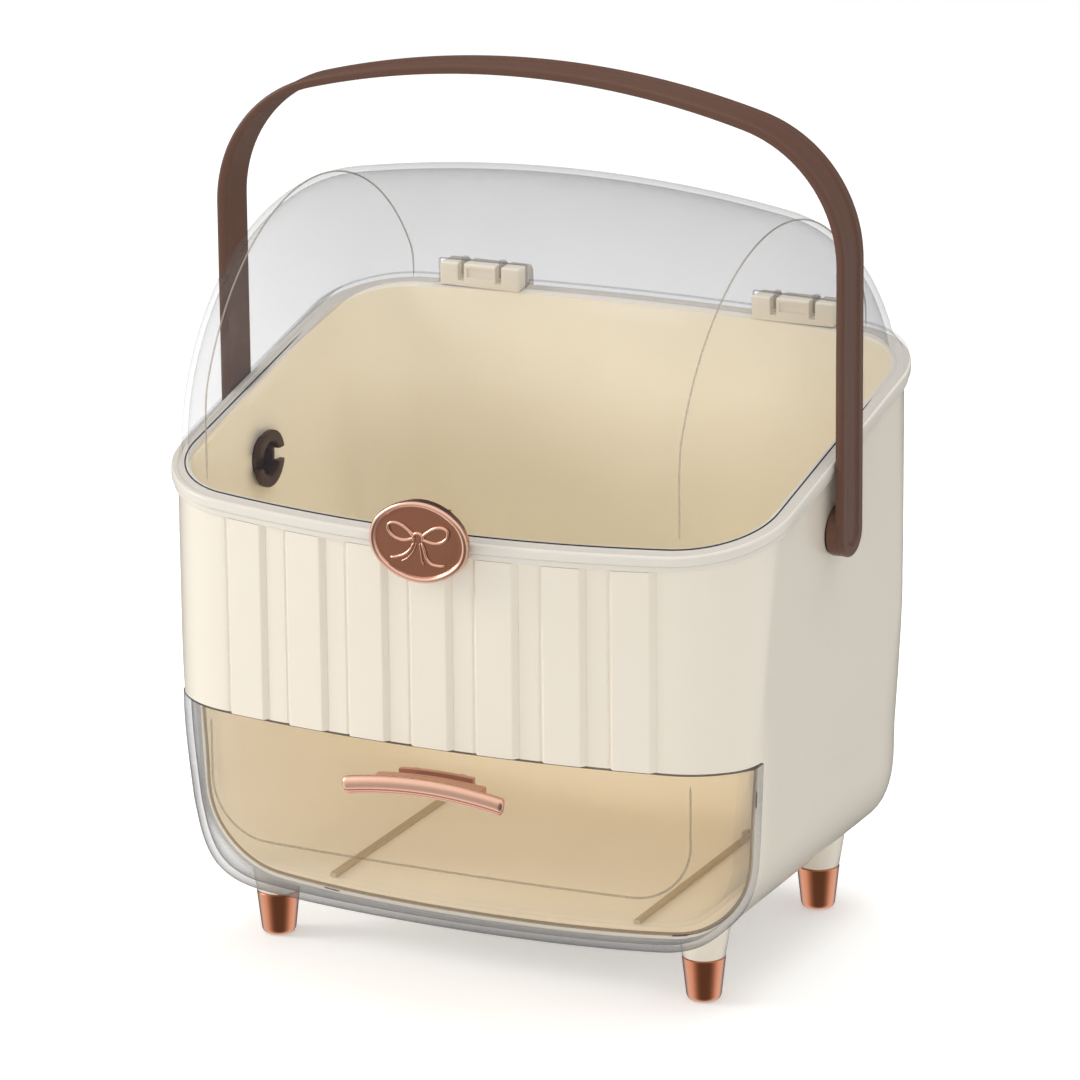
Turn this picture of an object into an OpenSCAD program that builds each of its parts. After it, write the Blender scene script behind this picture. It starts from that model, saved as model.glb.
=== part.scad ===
// Makeup organizer with a clear domed lid, a clear drawer and a swing handle.
// X is the width, Y the depth (front is -Y), Z is up. The feet stand on Z = 0
// and the origin is under the middle of the whole depth.

/* [Case] */
// Width over the rim
rim_w = 238; // [200:1:280]
// Depth over the rim
rim_d = 185; // [165:1:215]
// Height of the rim's top edge at the middle of the depth
rim_z = 194.4; // [185:0.2:215]
// Slope of the rim, higher at the back, in degrees
rim_slope = 13; // [8:0.5:15]
// Height of the rim band
rim_h = 6; // [4:0.5:9]
// How far the rim stands out from the case wall
rim_lip = 2.4; // [1.5:0.1:4]
// Wall of the outer shell
shell_wall = 2.4; // [1.8:0.1:3]
// Wall of the inner tub
tub_wall = 2; // [1.5:0.1:3]
// Radius of the bowed front, seen from above
front_bow = 520; // [400:10:1200]
// Radius of the bowed back, seen from above
back_bow = 900; // [600:10:1500]
// Radius of the front corners, seen from above
front_corner = 38; // [25:1:44]
// Radius of the back corners, seen from above
back_corner = 34; // [25:1:48]
// Lean of the side walls, in degrees
side_lean = 2.4; // [1:0.1:4]
// Height of the lowest point of the bottom
belly_z = 17.6; // [14:0.2:20]
// Radius of the bowed bottom
belly_bow = 560; // [450:10:900]
// Radius of the lower side corners
belly_corner = 38; // [28:1:45]
// Radius of the lower back edge
back_edge = 36; // [20:1:45]

/* [Front ribs] */
// Number of raised bands
rib_n = 7; // [3:2:9]
// Distance from band to band
rib_pitch = 25; // [18:0.5:26]
// Width of a raised band
rib_w = 15.2; // [8:0.2:17]
// Height of a raised band over the wall
rib_t = 0.9; // [0.4:0.1:1.4]

/* [Drawer] */
// Height of the split between the ribbed panel and the drawer
split_z = 96; // [88:0.5:108]
// Gap between the drawer front and the case
split_gap = 0.8; // [0.5:0.1:1.5]
// Depth of the clear drawer front, from its front to the case opening
nose_d = 34; // [30:1:45]
// How much lower the drawer front hangs than the case bottom
nose_drop = 0.9; // [0.5:0.2:3]
// Wall of the drawer front
nose_wall = 2.6; // [2:0.1:3.4]
// Radius of the drawer front's lower edge
nose_edge = 29; // [20:1:29]
// Wall of the drawer bay's liner
liner_wall = 1.8; // [1.4:0.1:2.6]
// Seam between the shell and the liner
seam = 0.5; // [0.3:0.1:0.8]
// Wall of the tray
tray_wall = 1.8; // [1.4:0.1:2.4]
// Length of the tray behind the opening
tray_l = 134; // [110:1:138]
// Height of the slide rails
rail_t = 1.4; // [1:0.1:2]
// Width of a slide rail
rail_w = 2.4; // [2:0.1:4]
// Length of a slide rail
rail_l = 100; // [70:1:110]
// Distance between the rails
rail_gap = 121; // [90:1:130]
// Distance of the left clip from the middle
clip_left_x = 58; // [40:1:62]
// Distance of the right clip from the middle
clip_right_x = 80; // [66:1:82]
// Width of a clip
clip_w = 6; // [4:0.5:8]

/* [Drawer pull] */
// Length of the pull bar
pull_l = 63; // [50:1:80]
// Height of the pull bar
pull_h = 6.6; // [5:0.2:8]
// Thickness of the pull bar
pull_t = 3; // [2.4:0.1:3.6]
// Rise of the bar's middle over its ends
pull_rise = 3; // [1:0.2:5]
// Depth of the pull's middle under the split
pull_drop = 13; // [12:0.5:20]
// Length of the plate between the bar and the drawer front
pull_plate_l = 42; // [34:1:48]
// Length of the plate inside the drawer front
pull_inner_l = 29; // [25:1:40]

/* [Lid] */
// Height of the lid's crown over the floor
lid_top = 281; // [274:0.5:284]
// Height of the axis that the dome curves around
dome_z = 180; // [176:1:184]
// How far that axis lies behind the middle of the rim
dome_y = 5; // [0:0.5:8]
// Radius of the crown from end to end
crown_bow = 500; // [400:10:800]
// Radius of the dome's rounded ends
crown_corner = 35; // [25:1:42]
// Wall of the lid
lid_wall = 2.2; // [1.8:0.1:2.6]
// Inset of the lid wall from the rim's outline
lid_inset = 2.8; // [2.2:0.1:3.4]
// Height of the lid's bottom flange
flange_h = 2; // [1.5:0.1:2.6]

/* [Hinge] */
// Width of a hinge block
hinge_w = 33; // [26:1:40]
// Distance of a hinge block from the middle of the case
hinge_x = 63.3; // [50:0.5:68]
// Radius of the hinge pin
pin_r = 1.2; // [1:0.05:1.4]
// How far the hinge stands out behind the rim
hinge_proud = 3.5; // [3:0.1:4.5]
// Thickness of a lid ear
ear_t = 2; // [1.6:0.1:2.6]

/* [Handle] */
// Height of the handle's top over the floor
handle_top = 323; // [312:0.5:330]
// Width of the handle's strap
strap_w = 18.5; // [16:0.5:22]
// Thickness of the strap
strap_t = 3.4; // [3:0.1:4]
// Height of the handle's pivots
pivot_z = 165.5; // [158:0.5:168]
// Distance of the pivots in front of the middle of the rim
pivot_fwd = 2; // [-2:0.5:8]
// Radius of the handle's arched top
arch_bow = 325; // [280:5:420]
// Radius of the handle's shoulders
arch_corner = 51; // [40:1:60]
// Outer radius of the snap collar
collar_r = 10.7; // [10.2:0.1:11.8]
// Radius of the pivot stud
stud_r = 8.2; // [7.6:0.1:8.6]

/* [Badge] */
// Width of the oval badge
badge_w = 38; // [30:1:44]
// Height of the oval badge
badge_h = 31; // [26:1:34]
// Thickness of the badge plate
badge_t = 2.6; // [2:0.1:3]
// How far the badge stands out in front of the rim
badge_proud = 6.5; // [6:0.1:8]

/* [Feet] */
// Height of the metal foot
foot_h = 16.5; // [14:0.5:18]
// Radius at the top of the foot
foot_r = 8.1; // [7:0.1:9]
// Radius at the bottom of the foot
foot_tip_r = 6.2; // [5.4:0.1:6.8]
// Distance of the feet from the rim's sides
foot_in = 34; // [29:0.5:43]
// Distance of the feet from the middle of the rim, in Y
foot_y = 52; // [40:0.5:56]

/* [Hidden] */
$fn = 96;

cream = [0.93, 0.90, 0.83];
clear = [0.85, 0.87, 0.90, 0.35];
rose = [0.72, 0.45, 0.36];
taupe = [0.40, 0.31, 0.27];
steel = [0.7, 0.7, 0.72];

// Fits: a small gap between fixed pieces, a running gap, and a gap that is seen
eps = 0.05;
fix_gap = 0.2;
run_gap = 0.3;
shaft_gap = 0.06;
// Corner arcs stand this much over the faces they run into
blend = 0.01;
big = 400;
bow_fn = 720;

// Places in the depth
front_y = -(rim_d + badge_proud + hinge_proud) / 2 + badge_proud;
back_y = front_y + rim_d;
mid_y = (front_y + back_y) / 2;
body_front_y = front_y + rim_lip;
open_y = body_front_y + nose_d;
arm_gap = 0.6;
handle_span = rim_w + 2 * (arm_gap + strap_t);
pivot_y = mid_y - pivot_fwd;
// A hub stands this much outside the strap's edges
hub_over = 0.2;
hub_r = strap_w / 2 + hub_over;
wall_x_at_pivot = rim_w / 2 - rim_lip - (rim_z - rim_h - pivot_z) * tan(side_lean);
hub_face_x = wall_x_at_pivot + hub_r * tan(side_lean) + run_gap;
tub_t = rim_lip + shell_wall + fix_gap;
neck_h = rim_h * 6;
tub_floor_z = split_z + 0.7;
tub_floor_t = 2.2;
liner_t = shell_wall + seam;
liner_in = liner_t + liner_wall;
roof_z = split_z - 1.6;
tray_t = liner_in + rail_t + run_gap;
tray_top_z = roof_z - 2;
nose_top_z = split_z - split_gap;
pull_z = split_z - pull_drop;
pin_y = back_y + hinge_proud - 4;
ear_r = pin_r + 1.1;
slit_floor = 0.4;
pin_z = rim_top(pin_y) + (slit_floor + run_gap + ear_r) / cos(rim_slope);
crown_r = lid_top - dome_z;
foot_mid_y = mid_y + 5.5;
foot_x = rim_w / 2 - foot_in;
collar_hollow_r = collar_r - 4.2;

function rim_top(y) = rim_z + (y - mid_y) * tan(rim_slope);

// Centre of the corner arc of a bowed U: it touches the bow and the leaning side
function bow_corner(half_w, lean, bow, corner, h) =
    let (n = [cos(lean), -sin(lean)],
         d = [sin(lean), cos(lean)],
         q = [half_w, h] - corner * n,
         w = q - [0, bow],
         b = w * d,
         c = w * w - (bow - corner) * (bow - corner))
    q + (-b - sqrt(b * b - c)) * d;

function flip_x(p) = [-p[0], p[1]];

// A U outline: a bowed bottom at Y = 0, round corners and sides that lean out to
// half_w at height h and go on to the height top_h. inset moves it all inwards.
module bow_u(half_w, lean, bow, corner, h, top_h, inset = 0) {
    c = bow_corner(half_w, lean, bow, corner, h);
    side = c + (corner - inset) * [cos(lean), -sin(lean)];
    top = side + [sin(lean), cos(lean)] * (top_h - side[1]) / cos(lean);
    out = (c - [0, bow]) / norm(c - [0, bow]);
    far = [0, bow] - out * (bow + 5) / out[1];
    polygon([c, side, top, flip_x(top), flip_x(side), flip_x(c)]);
    for (s = [-1, 1])
        translate([s * c[0], c[1]])
            circle(corner - inset + blend);
    intersection() {
        translate([0, bow])
            circle(bow - inset, $fn = bow_fn);
        polygon([[0, c[1] + corner / 2], c, far, flip_x(far), flip_x(c)]);
    }
}

// The case seen from above, inset from the rim's outer edge
module plan(inset) {
    half_d = rim_d / 2 + 1;
    translate([0, front_y])
        bow_u(rim_w / 2, 0, front_bow, front_corner, half_d, half_d, inset);
    translate([0, back_y])
        mirror([0, 1])
            bow_u(rim_w / 2, 0, back_bow, back_corner, half_d, half_d, inset);
}

module plan_prism(inset) {
    translate([0, 0, -10])
        linear_extrude(big)
            plan(inset);
}

// The case seen from the front, pushed along the depth
module front_prism(inset, drop = 0) {
    top_z = rim_z - rim_h;
    z0 = belly_z - drop;
    translate([0, big / 2, z0])
        rotate([90, 0, 0])
            linear_extrude(big)
                bow_u(rim_w / 2 - rim_lip, side_lean, belly_bow, belly_corner,
                      top_z - z0, big, inset);
}

// One half of a side view, pushed along the width: a box with one round lower edge.
// It runs from the edge at y0 back to y1.
module edge_prism(y0, y1, z0, r, inset) {
    translate([-big / 2, 0, 0])
        rotate([90, 0, 90])
            linear_extrude(big) {
                polygon([[y0 + r, z0 + inset], [y1, z0 + inset], [y1, big],
                         [y0 + inset, big], [y0 + inset, z0 + r], [y0 + r, z0 + r]]);
                translate([y0 + r, z0 + r])
                    circle(r - inset + blend);
            }
}

// The whole case as a solid, inset from its outer wall
module case_solid(inset) {
    intersection() {
        plan_prism(rim_lip + inset);
        front_prism(inset);
        mirror([0, 1, 0])
            edge_prism(-(back_y - rim_lip), big / 2, belly_z - 0.5, back_edge, inset);
    }
}

// Everything between two planes parallel to the rim's top
module rim_slab(low, high) {
    translate([0, mid_y, rim_z])
        rotate([rim_slope, 0, 0])
            translate([-big / 2, -big / 2, low * cos(rim_slope)])
                cube([big, big, (high - low) * cos(rim_slope)]);
}

// Everything in front of the drawer opening and under the split
module nose_space(y, z) {
    translate([-big / 2, y - big, -10])
        cube([big, big, z + 10]);
}

module rib_bands() {
    intersection() {
        plan_prism(rim_lip - rib_t);
        rim_slab(-big, -rim_h);
        translate([0, 0, split_z])
            for (i = [0 : rib_n - 1])
                translate([(i - (rib_n - 1) / 2) * rib_pitch - rib_w / 2, front_y - 5, 0])
                    cube([rib_w, front_corner, big]);
    }
}

module at_pivot(side) {
    translate([0, pivot_y, pivot_z])
        mirror([side < 0 ? 1 : 0, 0, 0])
            rotate([0, 90, 0])
                children();
}

module at_feet() {
    for (x = [-1, 1], y = [-1, 1])
        translate([x * foot_x, foot_mid_y + y * foot_y, 0])
            children();
}

// The stem that a metal foot is pushed on, and the screw that holds it
stem_r = foot_r - 2.6;
stem_h = 10;
foot_screw_r = 1.2;
screw_head = 1.7;
screw_sink = 0.8;

module outer_shell() {
    color(cream) difference() {
        union() {
            intersection() {
                union() {
                    case_solid(0);
                    rib_bands();
                    intersection() {
                        at_feet() {
                            translate([0, 0, foot_h])
                                cylinder(h = 30, r1 = foot_r - 0.3, r2 = foot_r + 4.5);
                        }
                        translate([-big / 2, -big / 2, 0])
                            cube([big, big, belly_z + 18]);
                    }
                    at_feet() {
                        translate([0, 0, foot_h - stem_h])
                            cylinder(h = stem_h + 8, r = stem_r);
                    }
                }
                rim_slab(-big, -rim_h - eps);
            }
        }
        case_solid(shell_wall);
        translate([0, 0, rim_z - neck_h])
            linear_extrude(big)
                plan(rim_lip + shell_wall);
        nose_space(open_y, split_z);
        for (s = [-1, 1])
            at_pivot(s)
                translate([0, 0, wall_x_at_pivot - 15])
                    cylinder(h = 30, r = collar_r + 1.4 + fix_gap);
        at_feet() {
            translate([0, 0, foot_h - stem_h - 1])
                cylinder(h = stem_h - 1, r = foot_screw_r + eps);
        }
    }
}

module tub_inside() {
    intersection() {
        case_solid(shell_wall + fix_gap + tub_wall);
        translate([-big / 2, -big / 2, tub_floor_z + tub_floor_t])
            cube([big, big, big]);
    }
    translate([0, 0, rim_z - neck_h])
        linear_extrude(big)
            plan(tub_t + tub_wall);
}

module inner_tub() {
    color(cream) difference() {
        union() {
            intersection() {
                case_solid(shell_wall + fix_gap);
                translate([-big / 2, -big / 2, tub_floor_z])
                    cube([big, big, big]);
                rim_slab(-big, -rim_h + 1);
            }
            intersection() {
                plan_prism(0);
                rim_slab(-rim_h * 0.62, 0);
            }
            intersection() {
                plan_prism(0.8);
                rim_slab(-rim_h, -rim_h * 0.5);
            }
        }
        tub_inside();
        for (s = [-1, 1])
            at_pivot(s)
                translate([0, 0, wall_x_at_pivot - 15])
                    cylinder(h = 30, r = collar_r + 1.4 + fix_gap);
    }
}

module bay_liner() {
    color(cream) difference() {
        intersection() {
            case_solid(liner_t);
            translate([-big / 2, open_y, 0])
                cube([big, back_y - open_y - rim_lip - shell_wall - fix_gap - 0.3, roof_z + liner_wall]);
        }
        intersection() {
            case_solid(liner_in);
            translate([-big / 2, open_y - nose_d, 0])
                cube([big, big, roof_z]);
        }
    }
}

// Three small clips bridge the seam between shell and liner at the opening
clip_t = 4;

module liner_clips() {
    color(cream) intersection() {
        difference() {
            case_solid(shell_wall);
            case_solid(liner_t);
        }
        union() {
            for (x = [-clip_left_x, clip_right_x])
                translate([x - clip_w / 2, open_y, 0])
                    cube([clip_w, clip_t, split_z / 2]);
            translate([rim_w / 4, open_y, split_z - 3 * clip_w])
                cube([rim_w / 2, clip_t, clip_w]);
        }
    }
}

module slide_rail(side) {
    color(taupe) intersection() {
        difference() {
            case_solid(liner_in);
            case_solid(liner_in + rail_t);
        }
        translate([side * rail_gap / 2, open_y + 6, 0]) {
            translate([-rail_w / 2, 0, 0])
                cube([rail_w, rail_l, roof_z]);
            translate([0, rail_l + 3, 0])
                difference() {
                    cylinder(h = roof_z, r = rail_w * 1.6);
                    cylinder(h = roof_z, r = rail_w * 0.8);
                }
        }
    }
}

// A tapered metal cup with a rounded foot
module foot(ix, iy) {
    tip = 1.6;
    color(rose)
        translate([ix * foot_x, foot_mid_y + iy * foot_y, 0])
            difference() {
                union() {
                    translate([0, 0, tip])
                        cylinder(h = foot_h - tip, r1 = foot_tip_r, r2 = foot_r);
                    rotate_extrude() {
                        square([foot_tip_r - tip, tip]);
                        intersection() {
                            translate([foot_tip_r - tip, tip])
                                circle(tip);
                            square([foot_tip_r, tip]);
                        }
                    }
                }
                translate([0, 0, foot_h - stem_h - fix_gap])
                    cylinder(h = stem_h + 1, r = stem_r + eps);
                translate([0, 0, -1])
                    cylinder(h = foot_h, r = foot_screw_r + 0.4);
                translate([0, 0, -1])
                    cylinder(h = 1 + screw_sink + screw_head + eps, r = foot_screw_r + 1.9);
            }
}

module foot_screws() {
    color(steel) at_feet() {
        translate([0, 0, screw_sink])
            cylinder(h = screw_head, r = foot_screw_r + 1.7);
        translate([0, 0, screw_sink + screw_head - eps])
            cylinder(h = stem_h, r = foot_screw_r);
    }
}

// A hinge block stands on the rim and hooks over its back. The lid's ears reach
// into its two slits.
block_front_y = back_y - 9.5;
slit_x = hinge_w / 6 + 2.2;
barrel_r = 4;

module hinge_block(side) {
    top_z = pin_z + barrel_r;
    low_z = pin_z - 6;
    color(cream) difference() {
        translate([side * hinge_x - hinge_w / 2, 0, 0])
            rotate([90, 0, 90])
                linear_extrude(hinge_w) {
                    translate([pin_y, pin_z])
                        circle(barrel_r);
                    translate([block_front_y, low_z])
                        square([pin_y - block_front_y, top_z - low_z - 1]);
                    translate([block_front_y + 1, low_z])
                        square([pin_y - block_front_y - 1, top_z - low_z]);
                    translate([pin_y - 1, low_z])
                        square([barrel_r + 1, pin_z - low_z]);
                }
        intersection() {
            plan_prism(-eps);
            rim_slab(-big, 0);
        }
        intersection() {
            for (s = [-1, 1])
                translate([side * hinge_x + s * slit_x - ear_t / 2 - run_gap, block_front_y - 1, 0])
                    cube([ear_t + 2 * run_gap, 30, big]);
            rim_slab(slit_floor, big);
        }
        translate([side * hinge_x - hinge_w, pin_y, pin_z])
            rotate([0, 90, 0])
                cylinder(h = 2 * hinge_w, r = pin_r + 0.02);
    }
}

module hinge_pin(side) {
    color(steel)
        translate([side * hinge_x - hinge_w / 2 + 1, pin_y, pin_z])
            rotate([0, 90, 0])
                cylinder(h = hinge_w - 2, r = pin_r);
}

// A bush that carries the handle's stud in both walls
module pivot_bush(side) {
    x0 = wall_x_at_pivot - shell_wall - tub_wall - 1.2;
    color(cream) at_pivot(side)
        difference() {
            translate([0, 0, x0])
                cylinder(h = wall_x_at_pivot - x0 - 0.6, r = collar_r + 1.4);
            translate([0, 0, x0 - 1])
                cylinder(h = 30, r = stud_r + shaft_gap);
        }
}

// The dome: a crown profile turned around an axis along the width
module dome_solid(inset) {
    translate([0, mid_y + dome_y, dome_z])
        rotate([0, 90, 0])
            rotate_extrude($fn = 180)
                intersection() {
                    translate([crown_r, 0])
                        rotate([0, 0, 90])
                            bow_u(rim_w / 2 - lid_inset, 4, crown_bow, crown_corner,
                                  crown_r, crown_r, inset);
                    translate([0, -rim_w])
                        square([2 * crown_r, 2 * rim_w]);
                }
}

module lid_solid(inset) {
    intersection() {
        dome_solid(inset);
        plan_prism(lid_inset + inset);
    }
}

module lid_dome() {
    notch_w = hinge_w + 2 * 0.8;
    notch_top = pin_z + barrel_r + 0.8;
    ear_reach = 6.4;
    color(clear) difference() {
        union() {
            difference() {
                union() {
                    intersection() {
                        lid_solid(0);
                        rim_slab(run_gap, big);
                    }
                    intersection() {
                        plan_prism(0.6);
                        rim_slab(run_gap, run_gap + flange_h);
                    }
                }
                lid_solid(lid_wall);
            }
            // ears that reach into the hinge slits
            for (side = [-1, 1], s = [-1, 1])
                translate([side * hinge_x + s * slit_x - ear_t / 2, 0, 0])
                    rotate([90, 0, 90])
                        linear_extrude(ear_t) {
                            translate([pin_y, pin_z])
                                circle(ear_r);
                            translate([pin_y - ear_reach, pin_z])
                                square([ear_reach, ear_r]);
                            translate([pin_y - ear_reach, pin_z - 0.8])
                                square([3, notch_top - pin_z + 1.8]);
                        }
        }
        for (side = [-1, 1]) {
            difference() {
                translate([side * hinge_x - notch_w / 2, back_y - 14, rim_top(back_y) - 8])
                    cube([notch_w, 30, notch_top - rim_top(back_y) + 8]);
                intersection() {
                    for (s = [-1, 1])
                        translate([side * hinge_x + s * slit_x - ear_t / 2, 0, 0])
                            cube([ear_t, big, big]);
                    rim_slab(slit_floor + run_gap, big);
                }
            }
            translate([side * hinge_x - hinge_w, pin_y, pin_z])
                rotate([0, 90, 0])
                    cylinder(h = 2 * hinge_w, r = pin_r + shaft_gap);
        }
    }
}

// The badge on the lid's front edge
badge_y = front_y - badge_proud;
badge_z = rim_top(front_y) + 0.4;
badge_border = 1.8;
badge_field = 1.1;
bow_t = 1;
badge_field_y = badge_y + badge_field;

module oval(w, h, inset = 0) {
    scale_free_oval(w / 2 - inset, h / 2 - inset);
}

// An oval of four arcs: two flat ones at top and bottom, two tight ones at the ends
module scale_free_oval(a, b) {
    r = b * 0.82;
    big_r = ((a - r) * (a - r) + b * b - r * r) / (2 * (b - r));
    intersection() {
        translate([0, b - big_r])
            circle(big_r, $fn = 180);
        translate([0, big_r - b])
            circle(big_r, $fn = 180);
        union() {
            for (s = [-1, 1])
                translate([s * (a - r), 0])
                    circle(r);
            t = (a - r) * big_r / (big_r - r);
            square([2 * t, 2 * b], center = true);
        }
    }
}

module badge_slice(y, t, inset = 0) {
    translate([0, y + t, badge_z])
        rotate([90, 0, 0])
            linear_extrude(t)
                oval(badge_w, badge_h, inset);
}

module badge_plate() {
    color(rose) difference() {
        badge_slice(badge_y + 0.5, badge_t);
        badge_slice(badge_y - 1, badge_field + 1, badge_border);
        rivet_holes(1.25);
    }
}

module badge_back() {
    hook_z = rim_top(front_y) + flange_h + run_gap + 0.6;
    y0 = badge_y + 0.5 + badge_t;
    color(rose) difference() {
        union() {
            badge_slice(y0, 1.2, 0.8);
            translate([-9, y0, hook_z])
                cube([18, front_y + lid_inset - y0 - 0.1 + 0.2, 8]);
        }
        rivet_holes(1.25);
        lid_solid(-0.1);
        intersection() {
            plan_prism(0.3);
            rim_slab(-big, run_gap + flange_h + 0.3);
        }
    }
}

module rivet_holes(r) {
    for (s = [-1, 1])
        translate([s * 6, badge_y - 2, rim_top(front_y) + flange_h + 6])
            rotate([-90, 0, 0])
                cylinder(h = 30, r = r);
}

module badge_rivets() {
    color(rose)
        for (s = [-1, 1])
            translate([s * 6, badge_y + 1.1 + 0.2, rim_top(front_y) + flange_h + 6])
                rotate([-90, 0, 0])
                    cylinder(h = 5, r = 1.2);
}

// A ribbon bow, raised on the badge's field
module badge_bow() {
    cord = 0.9;
    loop_r = 4.3;
    loop_x = loop_r + 1.5;
    color(rose)
        translate([0, badge_field_y, badge_z + 2])
            rotate([90, 0, 0])
                linear_extrude(bow_t) {
                    for (s = [-1, 1]) {
                        translate([s * loop_x, 1.4])
                            difference() {
                                circle(loop_r);
                                circle(loop_r - cord);
                            }
                        polygon([[s * 0.6, -1], [s * 1.5, -0.4], [s * 7, -8.2], [s * 6, -8.6]]);
                    }
                    circle(1.9);
                }
}

// The clear drawer front: flush with the case at the sides, hanging a little lower
module nose_solid(inset) {
    intersection() {
        plan_prism(rim_lip + inset);
        front_prism(inset, nose_drop);
        edge_prism(body_front_y, big / 2, belly_z - nose_drop - 0.5, nose_edge, inset);
    }
}

module drawer_front() {
    y1 = open_y - split_gap;
    color(clear) difference() {
        union() {
            difference() {
                intersection() {
                    nose_solid(0);
                    nose_space(y1, nose_top_z);
                }
                nose_solid(nose_wall);
            }
            // the flange that carries the tray
            difference() {
                intersection() {
                    nose_solid(0.5);
                    translate([-big / 2, y1 - 2.2, 0])
                        cube([big, 2.2, tray_top_z]);
                }
                case_solid(tray_t - eps);
            }
        }
        pull_holes(1.3);
    }
}

module drawer_tray() {
    y0 = open_y - split_gap - 2.2;
    color(clear) difference() {
        intersection() {
            case_solid(tray_t);
            translate([-big / 2, y0, 0])
                cube([big, tray_l + split_gap + 2.2, tray_top_z]);
        }
        intersection() {
            case_solid(tray_t + tray_wall);
            translate([-big / 2, y0 - 10, 0])
                cube([big, tray_l + split_gap + 2.2 + 10 - tray_wall, big]);
        }
    }
}

// The drawer pull: a bar in front, a plate behind it and one inside the drawer front
bar_y = badge_y;
nose_face_y = body_front_y;

module arched_bar(l, h, rise) {
    r = (l * l / 4 + rise * rise) / (2 * rise);
    intersection() {
        translate([0, h / 2 - r])
            difference() {
                circle(r, $fn = 360);
                circle(r - h, $fn = 360);
            }
        translate([-l / 2, -l])
            square([l, 2 * l]);
    }
}

module pull_bar() {
    color(rose) difference() {
        translate([0, bar_y + pull_t, pull_z])
            rotate([90, 0, 0])
                linear_extrude(pull_t)
                    arched_bar(pull_l, pull_h, pull_rise);
        translate([0, pull_t - 1.4, 0])
            pull_screw_row(1.1, 8);
    }
}

module pull_plate() {
    t = nose_face_y - (bar_y + pull_t);
    color(rose) difference() {
        translate([0, nose_face_y + 0.6, pull_z - 0.4])
            rotate([90, 0, 0])
                linear_extrude(t + 0.6)
                    arched_bar(pull_plate_l, pull_h - 0.8, pull_rise * 0.45);
        plan_prism(rim_lip - eps);
        pull_screw_row(1.3, 30);
    }
}

module pull_inner_plate() {
    color(rose) difference() {
        translate([0, nose_face_y + nose_wall + 2.4, pull_z])
            rotate([90, 0, 0])
                linear_extrude(2)
                    arched_bar(pull_inner_l, pull_h - 0.8, pull_rise * 0.2);
        pull_screw_row(1.3, 30);
    }
}

module pull_screw_row(r, l) {
    for (s = [-1, 1])
        translate([s * 9, bar_y, pull_z])
            rotate([-90, 0, 0])
                cylinder(h = l, r = r);
}

module pull_holes(r) {
    pull_screw_row(r, 30);
}

module pull_screws() {
    y1 = nose_face_y + nose_wall + 2.4;
    color(steel)
        for (s = [-1, 1])
            translate([s * 9, bar_y + 1.8, pull_z])
                rotate([-90, 0, 0]) {
                    cylinder(h = y1 - bar_y - 1.8 + 0.2, r = 1.05);
                    translate([0, 0, y1 - bar_y - 1.8])
                        cylinder(h = 1.4, r = 2.4);
                }
}

// The handle: a flat strap bent over the lid, with a hub at each end
module strap_outline(inset) {
    h = handle_top - pivot_z;
    translate([0, h])
        mirror([0, 1])
            bow_u(handle_span / 2, 0, arch_bow, arch_corner, h, h, inset);
}

module handle_bail() {
    groove = 0.7;
    border = 3.9;
    channel_w = strap_w - 2 * border;
    color(taupe) difference() {
        union() {
            translate([0, pivot_y + strap_w / 2, pivot_z])
                rotate([90, 0, 0])
                    linear_extrude(strap_w)
                        difference() {
                            strap_outline(0);
                            strap_outline(strap_t);
                            translate([-handle_span, -1])
                                square([2 * handle_span, 1]);
                        }
            for (s = [-1, 1])
                at_pivot(s) {
                    translate([0, 0, hub_face_x])
                        cylinder(h = handle_span / 2 - hub_face_x, r = hub_r);
                }
        }
        // a shallow channel along the strap's outer face, with round ends
        translate([0, pivot_y + channel_w / 2, pivot_z])
            rotate([90, 0, 0])
                linear_extrude(channel_w)
                    difference() {
                        translate([-handle_span, 0])
                            square([2 * handle_span, big]);
                        strap_outline(groove);
                    }
        for (s = [-1, 1])
            at_pivot(s)
                translate([0, 0, handle_span / 2 - groove])
                    cylinder(h = strap_t, r = channel_w / 2 + blend);
        for (s = [-1, 1])
            at_pivot(s)
                translate([0, 0, hub_face_x - 1])
                    cylinder(h = strap_t + 0.6, r = stud_r - 1.5 + eps);
    }
}

// A hollow stud with a lipped, slotted end that snaps through the wall
module snap_collar(side) {
    inner_end = wall_x_at_pivot - shell_wall - tub_wall - 1.2;
    lip_t = 2.2;
    peg_l = 2.6;
    slot_w = 4.8;
    slot_d = lip_t + run_gap + 3;
    color(taupe) at_pivot(side)
        difference() {
            union() {
                translate([0, 0, inner_end - 1])
                    cylinder(h = hub_face_x - inner_end + 1, r = stud_r);
                translate([0, 0, inner_end - run_gap - lip_t])
                    cylinder(h = lip_t, r = collar_r);
                translate([0, 0, hub_face_x - 1])
                    cylinder(h = 1 + peg_l, r = stud_r - 1.5);
            }
            translate([0, 0, inner_end - lip_t - 2])
                cylinder(h = hub_face_x - inner_end + lip_t + 1, r = collar_hollow_r);
            translate([-slot_w / 2, -big / 2, inner_end - slot_d])
                cube([slot_w, big, 2 * slot_d - lip_t - run_gap]);
        }
}

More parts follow.
